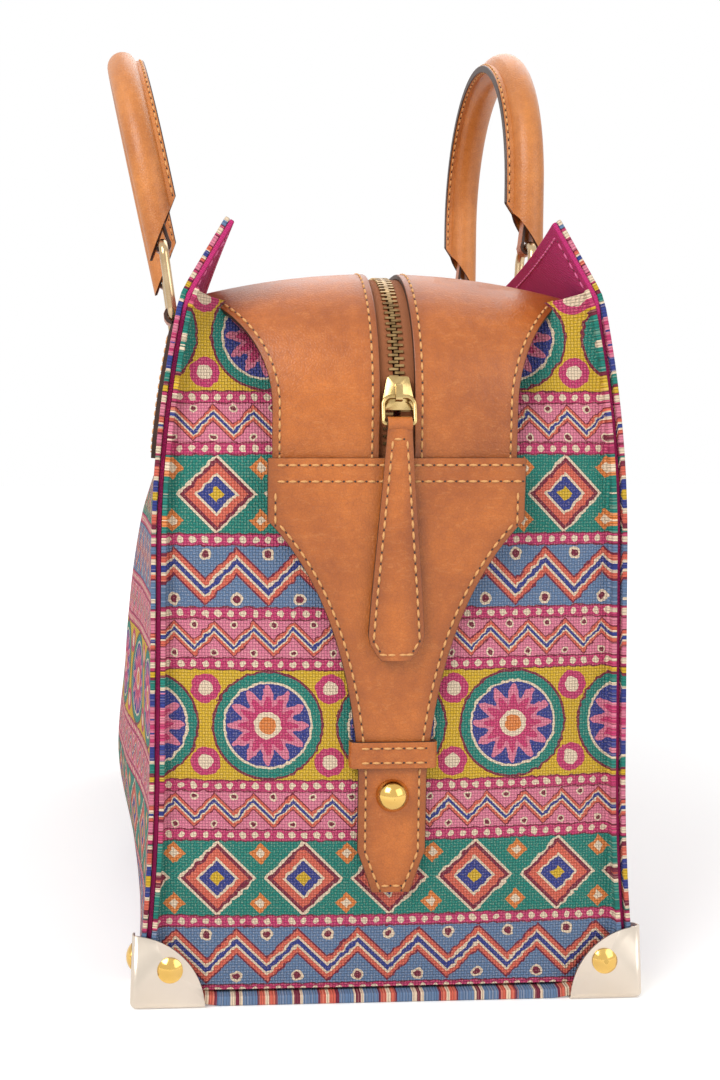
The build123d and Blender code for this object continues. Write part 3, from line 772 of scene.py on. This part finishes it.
def gusset_spot(end, u, w):
    """Point of a gusset: a blown middle, then a round turn on each side, then the flange."""
    t = 2 * u - 1
    height = BASE + w * (GUSSET_TOP + CORNER_RISE * t * t - BASE)
    key = round(height, 6)
    if key not in GUSSET_WIDTHS:
        GUSSET_WIDTHS[key] = wall_at(wall_run(height, 2 * CANVAS), 2 * CANVAS)[0] - CANVAS
    width = GUSSET_WIDTHS[key]
    q = (abs(t) - (1 - FLANGE_SHARE)) / FLANGE_SHARE
    side = 1 if t >= 0 else -1
    if q <= 0:
        y = t / (1 - FLANGE_SHARE) * (width - FLANGE_ROUND)
        pucker = PUCKER * sin(height * PUCKER_RATE) * abs(t) ** 6
        free = GUSSET_EDGE + BULGE * curve(BULGE_SHARES, w) * (1 - (y / width) ** 2) + pucker
        near = min(max((abs(t) - FREE_SHARE) / (1 - FREE_SHARE - FLANGE_SHARE), 0.0), 1.0)
        x = free + (min(free, under_leather(y, height)) - free) * (1 - near)
    elif q < TURN_SHARE:
        turn = q / TURN_SHARE * pi / 2
        y = side * (width - FLANGE_ROUND + FLANGE_ROUND * sin(turn))
        x = GUSSET_EDGE + FLANGE_ROUND * (1 - cos(turn))
    else:
        y = side * width
        flange = HALF - GUSSET_EDGE - FLANGE_ROUND
        x = GUSSET_EDGE + FLANGE_ROUND + (q - TURN_SHARE) / (1 - TURN_SHARE) * flange
    return Vector((end * x, end * y, height))


for end, word in ((1, "right"), (-1, "left")):

    def gusset_face(u, w):
        return gusset_spot(end, u, w)

    def gusset_map(u, w):
        spot = gusset_spot(1, u, w)
        beyond = max(spot.x - GUSSET_EDGE - BULGE, 0) * (1 if spot.y > 0 else -1)
        return spot.y + beyond, spot.z - BASE

    cloth = sheet(80, 44, gusset_face, gusset_map)
    gusset = finish_piece(cloth, word + "_end", "bag", [canvas_print], [word + "_gusset"])
    thicken(gusset, CANVAS, 0.4 * mm)


SEAT_OVERHANG = 2 * mm
SEAT_RADIUS = 30 * mm
SEAT_HEIGHT = 1.0 * mm
BASE_HEIGHT = 0.1 * mm
BASE_THICK = 3.5 * mm
BASE_PRINT = 6 * mm


def base_spot(u, w):
    """Point of the underside, which is higher in the round seats of the metal corners."""
    x, y = (u - 0.5) * LENGTH, (1 - 2 * w) * BASE_HALF
    reach = sqrt((HALF + SEAT_OVERHANG - abs(x)) ** 2 + (BASE_HALF + SEAT_OVERHANG - abs(y)) ** 2)
    return Vector((x, y, SEAT_HEIGHT if reach < SEAT_RADIUS else BASE_HEIGHT))


cloth = sheet(60, 30, base_spot, lambda u, w: ((1 - 2 * w) * BASE_HALF, BASE_PRINT))
base = finish_piece(cloth, "base_cloth", "bag", [canvas_print], ["base_panel"])
thicken(base, BASE_THICK, 0.6 * mm)
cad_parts["base_board"].data.materials.clear()
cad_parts["base_board"].data.materials.append(board)
print("gussets and base")

# %% [markdown]
# ## Leather top
# Two halves of crowned leather meet at the zip, run over both ends in a wide bend and hang down to the
# tabs. A run along the bag and a distance from its middle line give every point: level, then round the
# bend, then down. Beyond the bend the leather narrows in a hollow curve to a neck.

# %% Leather halves and zip tape
BEND_ANGLE = radians(93)
DROP = 37.4 * mm
TOP_RUN = BEND_X + BEND_R * BEND_ANGLE + DROP
NECK = 43 * mm
NECK_Z = 215 * mm
FLARE_R = 45.6 * mm
FLARE_TOP = 254.6 * mm
ZIP_EDGE = 6 * mm
TOP_WIDTH = 60 * mm
WALL_CLEAR = 3.9 * mm
TAPE_EDGE = 1.2 * mm
TAPE_WIDTH = 12.8 * mm
TAPE_DEPTH = 2.1 * mm
ROW_INSET = 2.6 * mm
ZIP_ROW_STOP = 16 * mm
FLARE_ROW_START = 22 * mm
FLARE_ROW_STOP = 40 * mm


def top_spot(run, y, lift=0.0):
    """Point of the leather top at a run along the bag, a distance from the zip and a lift off the face."""
    radius = BEND_R - crown_sag(y) + lift
    reach = abs(run)
    end = 1 if run >= 0 else -1
    angle = min(max((reach - BEND_X) / BEND_R, 0.0), BEND_ANGLE)
    fall = max(reach - BEND_X - BEND_R * BEND_ANGLE, 0.0)
    x = min(reach, BEND_X) + radius * sin(angle) + fall * cos(angle)
    return Vector((end * x, y, BEND_Z + radius * cos(angle) - fall * sin(angle)))


FAR_EDGES = {}


def top_far(run):
    """Distance of the leather's outer edge from the zip at a run."""
    key = round(abs(run), 5)
    if key not in FAR_EDGES:
        y = TOP_WIDTH
        for _ in range(30):
            z = top_spot(run, y).z
            wall = wall_at(wall_run(z), WALL_CLEAR)[0]
            if z > FLARE_TOP:
                goal = wall
            elif z > NECK_Z:
                goal = NECK + FLARE_R - sqrt(FLARE_R ** 2 - (z - NECK_Z) ** 2)
            else:
                goal = NECK
            y += (min(goal, wall) - y) * 0.5
        FAR_EDGES[key] = y
    return FAR_EDGES[key]


for side, word in ((1, "back"), (-1, "front")):

    def half_spot(u, w):
        run = side * (u - 0.5) * 2 * TOP_RUN
        y = ZIP_EDGE + w * (top_far(run) - ZIP_EDGE)
        return top_spot(run, side * y)

    def tape_spot(u, w):
        run = side * (u - 0.5) * 2 * TOP_RUN
        return top_spot(run, side * (TAPE_EDGE + TAPE_WIDTH * w), -TAPE_DEPTH)

    hide = sheet(150, 14, half_spot, lambda u, w: edge_darkening(min(w, 1 - w) * TOP_WIDTH))
    leather_piece(hide, word + "_top", "bag", LEATHER, 0.5 * mm, [word + "_top_leather"])
    cloth = sheet(150, 2, tape_spot, lambda u, w: (w * TAPE_WIDTH, u * 2 * TOP_RUN))
    tape = finish_piece(cloth, word + "_tape", "bag", [tape_cloth], [word + "_zip_tape"])
    thicken(tape, 0.8 * mm, 0.2 * mm)

    def zip_row(t):
        return side * (0.5 - t) * 2 * (TOP_RUN - ZIP_ROW_STOP), side * (ZIP_EDGE + ROW_INSET)

    def flare_row(end):
        def row(t):
            run = end * (BEND_X + FLARE_ROW_START + t * (TOP_RUN - BEND_X - FLARE_ROW_STOP))
            return run, side * (top_far(run) - ROW_INSET)

        return row

    lines = rows_of(top_spot, [zip_row], 240)
    lines += rows_of(top_spot, [flare_row(1), flare_row(-1)])
    stitches(word + "_top_stitches", "bag", lines)
for row in ("front", "back"):
    clean_copy(row + "_zip_teeth", "bag", zip_brass, bevel=0.18 * mm)
print("leather top, tapes and teeth")

# %% [markdown]
# ## End tabs, keepers and studs
# The zip's end is covered by a tab that narrows in a long curve to a strap, passes under a keeper loop and
# is held by a domed stud. Its half-width at each height is a short list of knots and one quadratic curve.

# %% Tabs
DROP_ORIGIN = Vector((194.9, 0, 213.383)) * mm
DROP_NORMAL = Vector((sin(BEND_ANGLE), 0, cos(BEND_ANGLE)))
DROP_UP = Vector((-cos(BEND_ANGLE), 0, sin(BEND_ANGLE)))
TAB_KNOTS = ((197.5, 44.8), (195.0, 44.8), (186.0, 44.8), (176.0, 44.8))
TAB_CURVE = ((176.0, 44.8), (146.0, 16.0), (85.0, 12.2))
TAB_STRAP = ((76.0, 12.2), (67.0, 12.2), (57.5, 12.2), (50.0, 9.5), (42.0, 6.8))
TAB_LIFT = 2.1 * mm
TAB_STITCH_LIFT = 2.15 * mm
TAB_INSET = 2.7
TAB_ROWS = (195.0, 189.4)
TAB_ROW_HALF = 42
TAB_TOE = (4.6, 44.6)
TAB_TOE_HALF = 4.0


def tab_profile():
    """Heights and half-widths from the tab's top to its end."""
    curve = []
    for index in range(1, 25):
        t = index / 24
        weights = ((1 - t) ** 2, 2 * t * (1 - t), t * t)
        curve.append(tuple(sum(w * knot[axis] for w, knot in zip(weights, TAB_CURVE)) for axis in (0, 1)))
    return [*TAB_KNOTS, *curve, *TAB_STRAP]


TAB = tab_profile()


def drop_spot(end, y, height, lift):
    """Point on the plane of the hanging leather at one end."""
    up = (height - DROP_ORIGIN.z) / sin(BEND_ANGLE)
    point = DROP_ORIGIN + DROP_UP * up + DROP_NORMAL * lift
    return Vector((end * point.x, end * y, point.z))


def profile_at(profile, w):
    """Height and half-width at a share of the way up a profile that is listed from the top down."""
    place_in = (1 - w) * (len(profile) - 1)
    index = min(int(place_in), len(profile) - 2)
    t = place_in - index
    return tuple(profile[index][axis] * (1 - t) + profile[index + 1][axis] * t for axis in (0, 1))


def tab_spot(end, u, w):
    height, half = profile_at(TAB, w)
    return drop_spot(end, (2 * u - 1) * half * mm, height * mm, TAB_LIFT)


def tab_map(u, w):
    return edge_darkening(min(u, 1 - u) * 2 * profile_at(TAB, w)[1] * mm)


def flat_row(end, lift, points):
    """Line of stitches on the drop plane through (distance, height) points in millimetres."""
    normal = Vector((end * DROP_NORMAL.x, 0, DROP_NORMAL.z))
    return [(drop_spot(end, y * mm, height * mm, lift), normal) for y, height in points]


def level_row(end, lift, half, height):
    """Level line of stitches on the drop plane, as far to one side as to the other."""
    return flat_row(end, lift, [(-half, height), (half, height)])


def both_sides(end, lift, points):
    """The same line of stitches on both sides of the middle."""
    return [flat_row(end, lift, [(sign * y, height) for y, height in points]) for sign in (1, -1)]


KEEPER_HALF = ((11.0, 3.3), (14.0, 3.1), (14.7, 2.2), (14.7, -0.5))
KEEPER_PATH = [(-y, lift) for y, lift in reversed(KEEPER_HALF)] + list(KEEPER_HALF)
KEEPER_HEIGHT = 93 * mm
KEEPER_WIDTH = 9.6 * mm
KEEPER_ROWS = (90.4, 95.6)
KEEPER_ROW_HALF = 12
KEEPER_STITCH_LIFT = 4.15 * mm
edge_points = [(half - TAB_INSET, height) for height, half in TAB if height < TAB_ROWS[1] - 1]
outline = edge_points[:-1] + [TAB_TOE]
for end, word in ((1, "right"), (-1, "left")):
    hide = sheet(20, len(TAB) - 1, lambda u, w: tab_spot(end, u, w), tab_map)
    leather_piece(hide, word + "_tab", "bag", LEATHER, 0.5 * mm, [word + "_end_tab"])
    rows = both_sides(end, TAB_STITCH_LIFT, outline)
    rows += [level_row(end, TAB_STITCH_LIFT, TAB_ROW_HALF, height) for height in TAB_ROWS]
    rows.append(level_row(end, TAB_STITCH_LIFT, TAB_TOE_HALF, TAB_TOE[1]))
    stitches(word + "_tab_stitches", "bag", rows)
    clean_copy(word + "_stud", "bag", stud_brass)
    path = [drop_spot(end, y * mm, KEEPER_HEIGHT, lift * mm) for y, lift in KEEPER_PATH]
    hide = strap(path, Vector((end * DROP_UP.x, 0, DROP_UP.z)), KEEPER_WIDTH)
    leather_piece(hide, word + "_keeper_loop", "bag", 1.6 * mm, 0.35 * mm, [word + "_keeper"], offset=0.0)
    rows = [level_row(end, KEEPER_STITCH_LIFT, KEEPER_ROW_HALF, height) for height in KEEPER_ROWS]
    stitches(word + "_keeper_stitches", "bag", rows)
print("tabs, keepers and studs")

# %% [markdown]
# ## Zip slider and its pull
# The slider and its wire ring are small machined pieces that the CAD model has in full, so clean copies of
# them are enough. The pull is two plies of leather folded over the ring's lower bar and sewn round its edge.

# %% Pull
PULL_HEAD = 209.08
PULL_DROPS = (
    (0.4, 4.3), (20, 5.7), (40, 7.35), (60, 9.0),
    (73, 9.9), (76, 9.2), (79.5, 7.2), (82, 5.2),
)
PULL = [(PULL_HEAD - drop, half) for drop, half in PULL_DROPS]
PULL_WIDTH = 18 * mm
PULL_FACE = 5.9 * mm
PULL_SWELL = 0.45 * mm
PULL_SINK = 0.2 * mm
PULL_THICK = 3.3 * mm
PULL_INSET = 2.0
PULL_TOP_ROW = PULL_HEAD - 5
PULL_TOE_ROW = PULL_HEAD - 79.6
BAR_LIFT = 4.2 * mm
FOLD_RADIUS = 1.75 * mm
FOLD_WIDTH = 8.6 * mm


def pull_spot(u, w):
    height, half = profile_at(PULL, w)
    t = 2 * u - 1
    swell = PULL_SWELL * (1 - t * t)
    return drop_spot(1, t * half * mm, height * mm, PULL_FACE + swell - PULL_SINK)


hide = sheet(10, 42, pull_spot, lambda u, w: edge_darkening(min(u, 1 - u) * PULL_WIDTH))
leather_piece(hide, "leather_pull", "slider_pull", PULL_THICK, 0.5 * mm, ["zip_pull"])
bar = drop_spot(1, 0, PULL_HEAD * mm, BAR_LIFT)
turns = [radians(-70 + 32 * step) for step in range(11)]
fold_path = [bar + (DROP_NORMAL * cos(a) + DROP_UP * sin(a)) * FOLD_RADIUS for a in turns]
hide = strap(fold_path, Vector((0, 1, 0)), FOLD_WIDTH)
leather_piece(hide, "pull_fold", "slider_pull", 1.5 * mm, 0.3 * mm, offset=0.0)
pull_edge = [(half - PULL_INSET, height) for height, half in PULL[1:-1]]
pull_edge = [(2.4, PULL_TOP_ROW)] + pull_edge + [(4.0, PULL_TOE_ROW)]
pull_rows = both_sides(1, PULL_FACE + 0.05 * mm, pull_edge)
pull_rows.append(level_row(1, PULL_FACE + 0.1 * mm, 3.6, PULL_TOE_ROW))
pull_rows.append(level_row(1, PULL_FACE + 0.2 * mm, 2.6, PULL_TOP_ROW))
stitches("pull_stitches", "slider_pull", pull_rows)
clean_copy("zip_slider", "slider", slider_brass)
clean_copy("pull_ring", "slider_ring", slider_brass)
print("slider, ring and pull")

# %% [markdown]
# ## Metal corners
# Each corner is plate bent round the bag's foot, held by domed rivets. The CAD model has the bend and the
# round cut, so the copy only needs its polish.

# %% Corners and rivets
for end in ("right", "left"):
    for side in ("front", "back"):
        clean_copy(f"{end}_{side}_corner", "bag", corner_gold)
clean_copy("corner_rivets", "bag", stud_brass)
print("corners and rivets")

# %% [markdown]
# ## Handles and rings
# A rolled handle is a strip of leather wrapped round a cord and sewn along a fin that faces the bag. Its
# section is a circle with three points pulled out to make the fin. That ring of edges is extruded up one
# leg, spun round the arch and extruded down the other leg, and a slanting cut opens both ends.

# %% Handles
BAR_Y = 77.3128 * mm
BAR_Z = 258 * mm
RING_HEIGHT = 31 * mm
SPAN = 65 * mm
LEG = 28 * mm
FOOT = -6 * mm
TUBE = 7 * mm
FIN = 10 * mm
MOUTH_HEIGHT = 4.8 * mm
MOUTH_SLOPE = tan(radians(56))
FIN_TIP = 1.45 * mm
FIN_SIDES = ((2.75 * mm, 1.6 * mm, -FIN + 0.5 * mm), (3.95 * mm, 1.8 * mm, -TUBE + 0.35 * mm))
FIN_FACE = 0.6 * mm
FIN_SEAM = 1.85 * mm
FIN_SEAM_DEPTH = 8.6 * mm
SEAM_END = 8 * mm
LEG_STEPS = 8
ARCH_STEPS = 120
SEAM_STEPS = 12
TONGUE_RADIUS = 3.1 * mm
TONGUE_LEGS = ((24 * mm, 1.1 * mm), (12 * mm, 1.5 * mm))
TONGUE_WIDTH = 7 * mm


def swing(side, foot, lean):
    """Matrix of a plane that leans out: x along the bag, y up the plane, z outwards."""
    up = Vector((0, side * sin(lean), cos(lean)))
    out = Vector((0, side * cos(lean), -sin(lean)))
    turn = Matrix((Vector((1, 0, 0)), up, out)).transposed().to_4x4()
    return Matrix.Translation(Vector((0, side * foot[0], foot[1]))) @ turn


def grow(shape, edges, vector):
    """Extrudes a ring of edges and moves the new ring."""
    made = bmesh.ops.extrude_edge_only(shape, edges=edges)["geom"]
    moved = [item for item in made if isinstance(item, bmesh.types.BMVert)]
    bmesh.ops.translate(shape, verts=moved, vec=vector)
    fresh = set(moved)
    return [item for item in made if isinstance(item, bmesh.types.BMEdge) and set(item.verts) <= fresh]


def rolled_handle():
    """Handle in its own plane: x along the bag, y up, z outwards."""
    shape = bmesh.new()
    lay = Matrix.Translation((-SPAN, FOOT, 0)) @ Matrix.Rotation(-pi / 2, 4, "X")
    bmesh.ops.create_circle(shape, segments=32, radius=TUBE, matrix=lay)
    for vertex in shape.verts:
        off = vertex.co.x + SPAN
        if vertex.co.z >= 0:
            continue
        if abs(off) < FIN_TIP:
            vertex.co.z = -FIN
            continue
        for limit, half, depth in FIN_SIDES:
            if abs(off) < limit:
                vertex.co = Vector((-SPAN + (half if off > 0 else -half), FOOT, depth))
                break
    ring = shape.edges[:]
    for _ in range(LEG_STEPS):
        ring = grow(shape, ring, Vector((0, (LEG - FOOT) / LEG_STEPS, 0)))
    start = {vertex for edge in ring for vertex in edge.verts}
    spun = bmesh.ops.spin(
        shape,
        geom=[*start, *ring],
        cent=(0, LEG, 0),
        axis=(0, 0, -1),
        dvec=(0, 0, 0),
        angle=pi,
        steps=40,
        use_merge=False,
        use_duplicate=False,
    )["geom_last"]
    ring = [item for item in spun if isinstance(item, bmesh.types.BMEdge)]
    for _ in range(LEG_STEPS):
        ring = grow(shape, ring, Vector((0, -(LEG - FOOT) / LEG_STEPS, 0)))
    bmesh.ops.remove_doubles(shape, verts=shape.verts, dist=1e-6)
    bmesh.ops.bisect_plane(
        shape,
        geom=[*shape.verts, *shape.edges, *shape.faces],
        plane_co=(0, MOUTH_HEIGHT, 0),
        plane_no=Vector((0, 1, MOUTH_SLOPE)).normalized(),
        clear_inner=True,
    )
    bmesh.ops.recalc_face_normals(shape, faces=shape.faces)
    for face in shape.faces:
        if all(vertex.co.z < -FIN + FIN_FACE for vertex in face.verts):
            face.material_index = 1
    return shape


def handle_rows(matrix):
    """Stitches on both faces of the fin."""
    lines = []
    for face in (1, -1):
        line = []
        for index in range(-SEAM_STEPS, ARCH_STEPS + SEAM_STEPS + 1):
            out = min(max(pi * index / ARCH_STEPS, 0.0), pi)
            radius = SPAN + face * FIN_SEAM
            drop = (max(-index, 0) + max(index - ARCH_STEPS, 0)) / SEAM_STEPS * SEAM_END
            point = Vector((-radius * cos(out), LEG + radius * sin(out) - drop, -FIN_SEAM_DEPTH))
            normal = Vector((-cos(out), sin(out), 0)) * face
            line.append((matrix @ point, matrix.to_3x3() @ normal))
        lines.append(line)
    return lines


LEANS = {"front": (-1, radians(8), radians(12)), "back": (1, radians(3), radians(0))}
for word, (side, ring_lean, handle_lean) in LEANS.items():
    head = (BAR_Y + RING_HEIGHT * sin(ring_lean), BAR_Z + RING_HEIGHT * cos(ring_lean))
    stand = swing(side, head, handle_lean)
    shape = rolled_handle()
    bmesh.ops.transform(shape, matrix=stand, verts=shape.verts)
    bmesh.ops.recalc_face_normals(shape, faces=shape.faces)
    body = word + "_grip"
    hides = [handle_leather, edge_paint_and_hole_shade]
    handle = finish_piece(shape, word + "_rolled_handle", body, hides, [word + "_handle"])
    thicken(handle, 1.2 * mm, 0.3 * mm, even=False)
    stitches(word + "_handle_stitches", body, handle_rows(stand))
    for sign, end in ((1, "right"), (-1, "left")):
        turns = [radians(150 + 30 * step) for step in range(9)]
        loop = [(height, -off) for height, off in TONGUE_LEGS]
        loop += [(TONGUE_RADIUS * sin(turn), TONGUE_RADIUS * cos(turn)) for turn in turns]
        loop += reversed(TONGUE_LEGS)
        path = [stand @ Vector((sign * SPAN, height, off)) for height, off in loop]
        hide = strap(path, Vector((1, 0, 0)), TONGUE_WIDTH)
        leather_piece(hide, f"{end}_{word}_tongue", body, 1.5 * mm, 0.3 * mm, offset=0.0)
        clean_copy(f"{end}_{word}_ring", word + "_rings", ring_brass)
print("handles and rings")

# %% [markdown]
# ## Chapes
# A chape is the leather patch that holds a ring: a narrow neck wraps round the ring's lower bar, and a wider
# patch below it is sewn flat to the wall. The patch follows the wall's line, and the wrap is a strap that
# goes round the bar, because one sheet can't easily do both.

# %% Chapes
CHAPE = (
    (258.5, 7.0), (250.4, 7.0), (250.0, 12.0), (235.0, 12.0),
    (220.0, 12.0), (204.0, 12.0), (200.0, 9.3), (196.0, 6.5),
)
CHAPE_FACE = -3.7 * mm
CHAPE_WIDTH = 24 * mm
CHAPE_SEAM = ((-10, 247.5), (-10, 205), (-5.2, 198.8), (5.2, 198.8), (10, 205), (10, 247.5), (-10, 247.5))
SEAM_PARTS = 8
SEAM_LIFT = 0.05 * mm
WRAP_RADIUS = 3.2 * mm
WRAP_WIDTH = 14 * mm


def chape_spot(side, end, across, height, lift=0.0):
    """Point of a chape's outer face, or one lifted off it."""
    y, z, _ = wall_at(wall_run(height), CHAPE_FACE - lift)
    return Vector((end * SPAN + across, side * y, z))


for word, (side, _, _) in LEANS.items():
    for end, hand in ((1, "right"), (-1, "left")):

        def patch_spot(u, w):
            height, half = profile_at(CHAPE, w)
            return chape_spot(side, end, -side * (2 * u - 1) * half * mm, height * mm)

        name = f"{hand}_{word}_chape"
        hide = sheet(8, 28, patch_spot, lambda u, w: edge_darkening(min(u, 1 - u) * CHAPE_WIDTH))
        leather_piece(hide, name + "_patch", "bag", 3.5 * mm, 0.4 * mm, [name])
        around = [radians(200 + 28 * step) for step in range(13)]
        middle = Vector((end * SPAN, side * BAR_Y, BAR_Z))
        path = [middle + Vector((0, side * cos(a), sin(a))) * WRAP_RADIUS for a in around]
        hide = strap(path, Vector((1, 0, 0)), WRAP_WIDTH)
        leather_piece(hide, name + "_wrap", "bag", 1.8 * mm, 0.35 * mm, offset=0.0)
        line = []
        for (a, low), (b, high) in zip(CHAPE_SEAM, CHAPE_SEAM[1:]):
            for step in range(SEAM_PARTS):
                t = step / SEAM_PARTS
                height = (low + (high - low) * t) * mm
                lean = wall_lean(wall_run(height))
                point = chape_spot(side, end, (a + (b - a) * t) * mm, height, SEAM_LIFT)
                line.append((point, Vector((0, side * cos(lean), sin(lean)))))
        stitches(name + "_stitches", "bag", [line])
print("chapes")

# %% [markdown]
# ## Camera, floor and light
# The picture is taken close to one end, a little above the middle of the bag. A large soft lamp on each
# side, one from behind and an even sky keep the colours as they are written, and the floor is nearly white,
# so only the contact shadow shows.

# %% Camera
FOCAL_PIXELS = 1300.0
IMAGE = (720.0, 1080.0)
AXIS_PIXEL = 250.0
CAMERA_SPOT = Vector((639.87, -75.56, 201.14)) * mm
CAMERA_YAW = 0.05553
CAMERA_PITCH = -0.07147
camera = bpy.data.objects.new("camera", bpy.data.cameras.new("camera"))
bpy.context.scene.collection.objects.link(camera)
camera.data.lens = FOCAL_PIXELS * camera.data.sensor_width / max(IMAGE)
camera.data.shift_x = (IMAGE[0] / 2 - AXIS_PIXEL) / max(IMAGE)
camera.location = CAMERA_SPOT
level = cos(CAMERA_PITCH)
forward = Vector((-cos(CAMERA_YAW) * level, sin(CAMERA_YAW) * level, sin(CAMERA_PITCH)))
camera.rotation_euler = forward.to_track_quat("-Z", "Y").to_euler()
bpy.context.scene.camera = camera
print("lens", round(camera.data.lens, 1), "mm")


# %% Floor, sky and lamps
CAMERA_RAY, GLOSSY_RAY, GLASS_RAY = 0, 3, 6
FLOOR_CLEAR = 0.35
FLOOR_FADE = 1.2
FLOOR_HALF = 6


def seen(finish):
    """1 for the rays that show the background: the camera's, and those of mirrors and glass."""
    camera_ray, glossy_ray, glass_ray = (
        finish.node("LightPath", out=ray) for ray in (CAMERA_RAY, GLOSSY_RAY, GLASS_RAY)
    )
    return camera_ray | glossy_ray | glass_ray


floor_finish = Finish("floor")
floor_grain = floor_finish.noise(place(floor_finish), 30.0)
reach = floor_finish.node("VectorMath", {"operation": "LENGTH"}, {0: place(floor_finish)}, out=1)
glow = floor_finish.mix((reach - FLOOR_CLEAR) * FLOOR_FADE | 0.0, (0.42, 0.42, 0.42, 1), (1, 1, 1, 1))
floor_finish.surface(
    base_color=floor_finish.mix(floor_grain, (0.84, 0.84, 0.84, 1), (0.86, 0.86, 0.86, 1)),
    roughness=0.9,
    emission_color=floor_finish.mix(seen(floor_finish), (0, 0, 0, 1), glow),
    emission_strength=0.6,
)
shape = bmesh.new()
bmesh.ops.create_grid(shape, x_segments=2, y_segments=2, size=FLOOR_HALF)
floor_mesh = bpy.data.meshes.new("floor")
shape.to_mesh(floor_mesh)
shape.free()
floor_mesh.materials.append(floor_finish.material)
floor = bpy.data.objects.new("floor", floor_mesh)
bpy.context.scene.collection.objects.link(floor)
floor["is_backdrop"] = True

world = bpy.data.worlds.new("sky")
bpy.context.scene.world = world
sky = Finish("sky", world, "Background")
sky.surface(color=(1, 1, 1, 1), strength=0.5 + seen(sky) * 0.5)

LAMP_TARGET = Vector((0.1, 0, 0.16))
LAMPS = (
    ("key", (0.85, -0.7, 0.95), 0.7, 12.0),
    ("fill", (0.9, 0.8, 0.6), 0.8, 4.0),
    ("rim", (-0.6, 0.3, 1.1), 0.9, 5.0),
)
for name, spot, size, power in LAMPS:
    lamp = bpy.data.objects.new(name, bpy.data.lights.new(name, "AREA"))
    bpy.context.scene.collection.objects.link(lamp)
    lamp.data.size = size
    lamp.data.energy = power
    lamp.location = spot
    lamp.rotation_euler = (LAMP_TARGET - lamp.location).to_track_quat("-Z", "Y").to_euler()
bpy.context.scene.view_settings.view_transform = "Standard"
print("floor, sky and lamps")

# %% [markdown]
# ## Size
# Dressing a part must not change its size, so the CAD box and the dressed box are written side by side.

# %% Measure and finish
boxes = {"cad": [list(corner) for corner in cad_box], "visual": [list(corner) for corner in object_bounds()]}
print("cad", boxes["cad"], "visual", boxes["visual"])
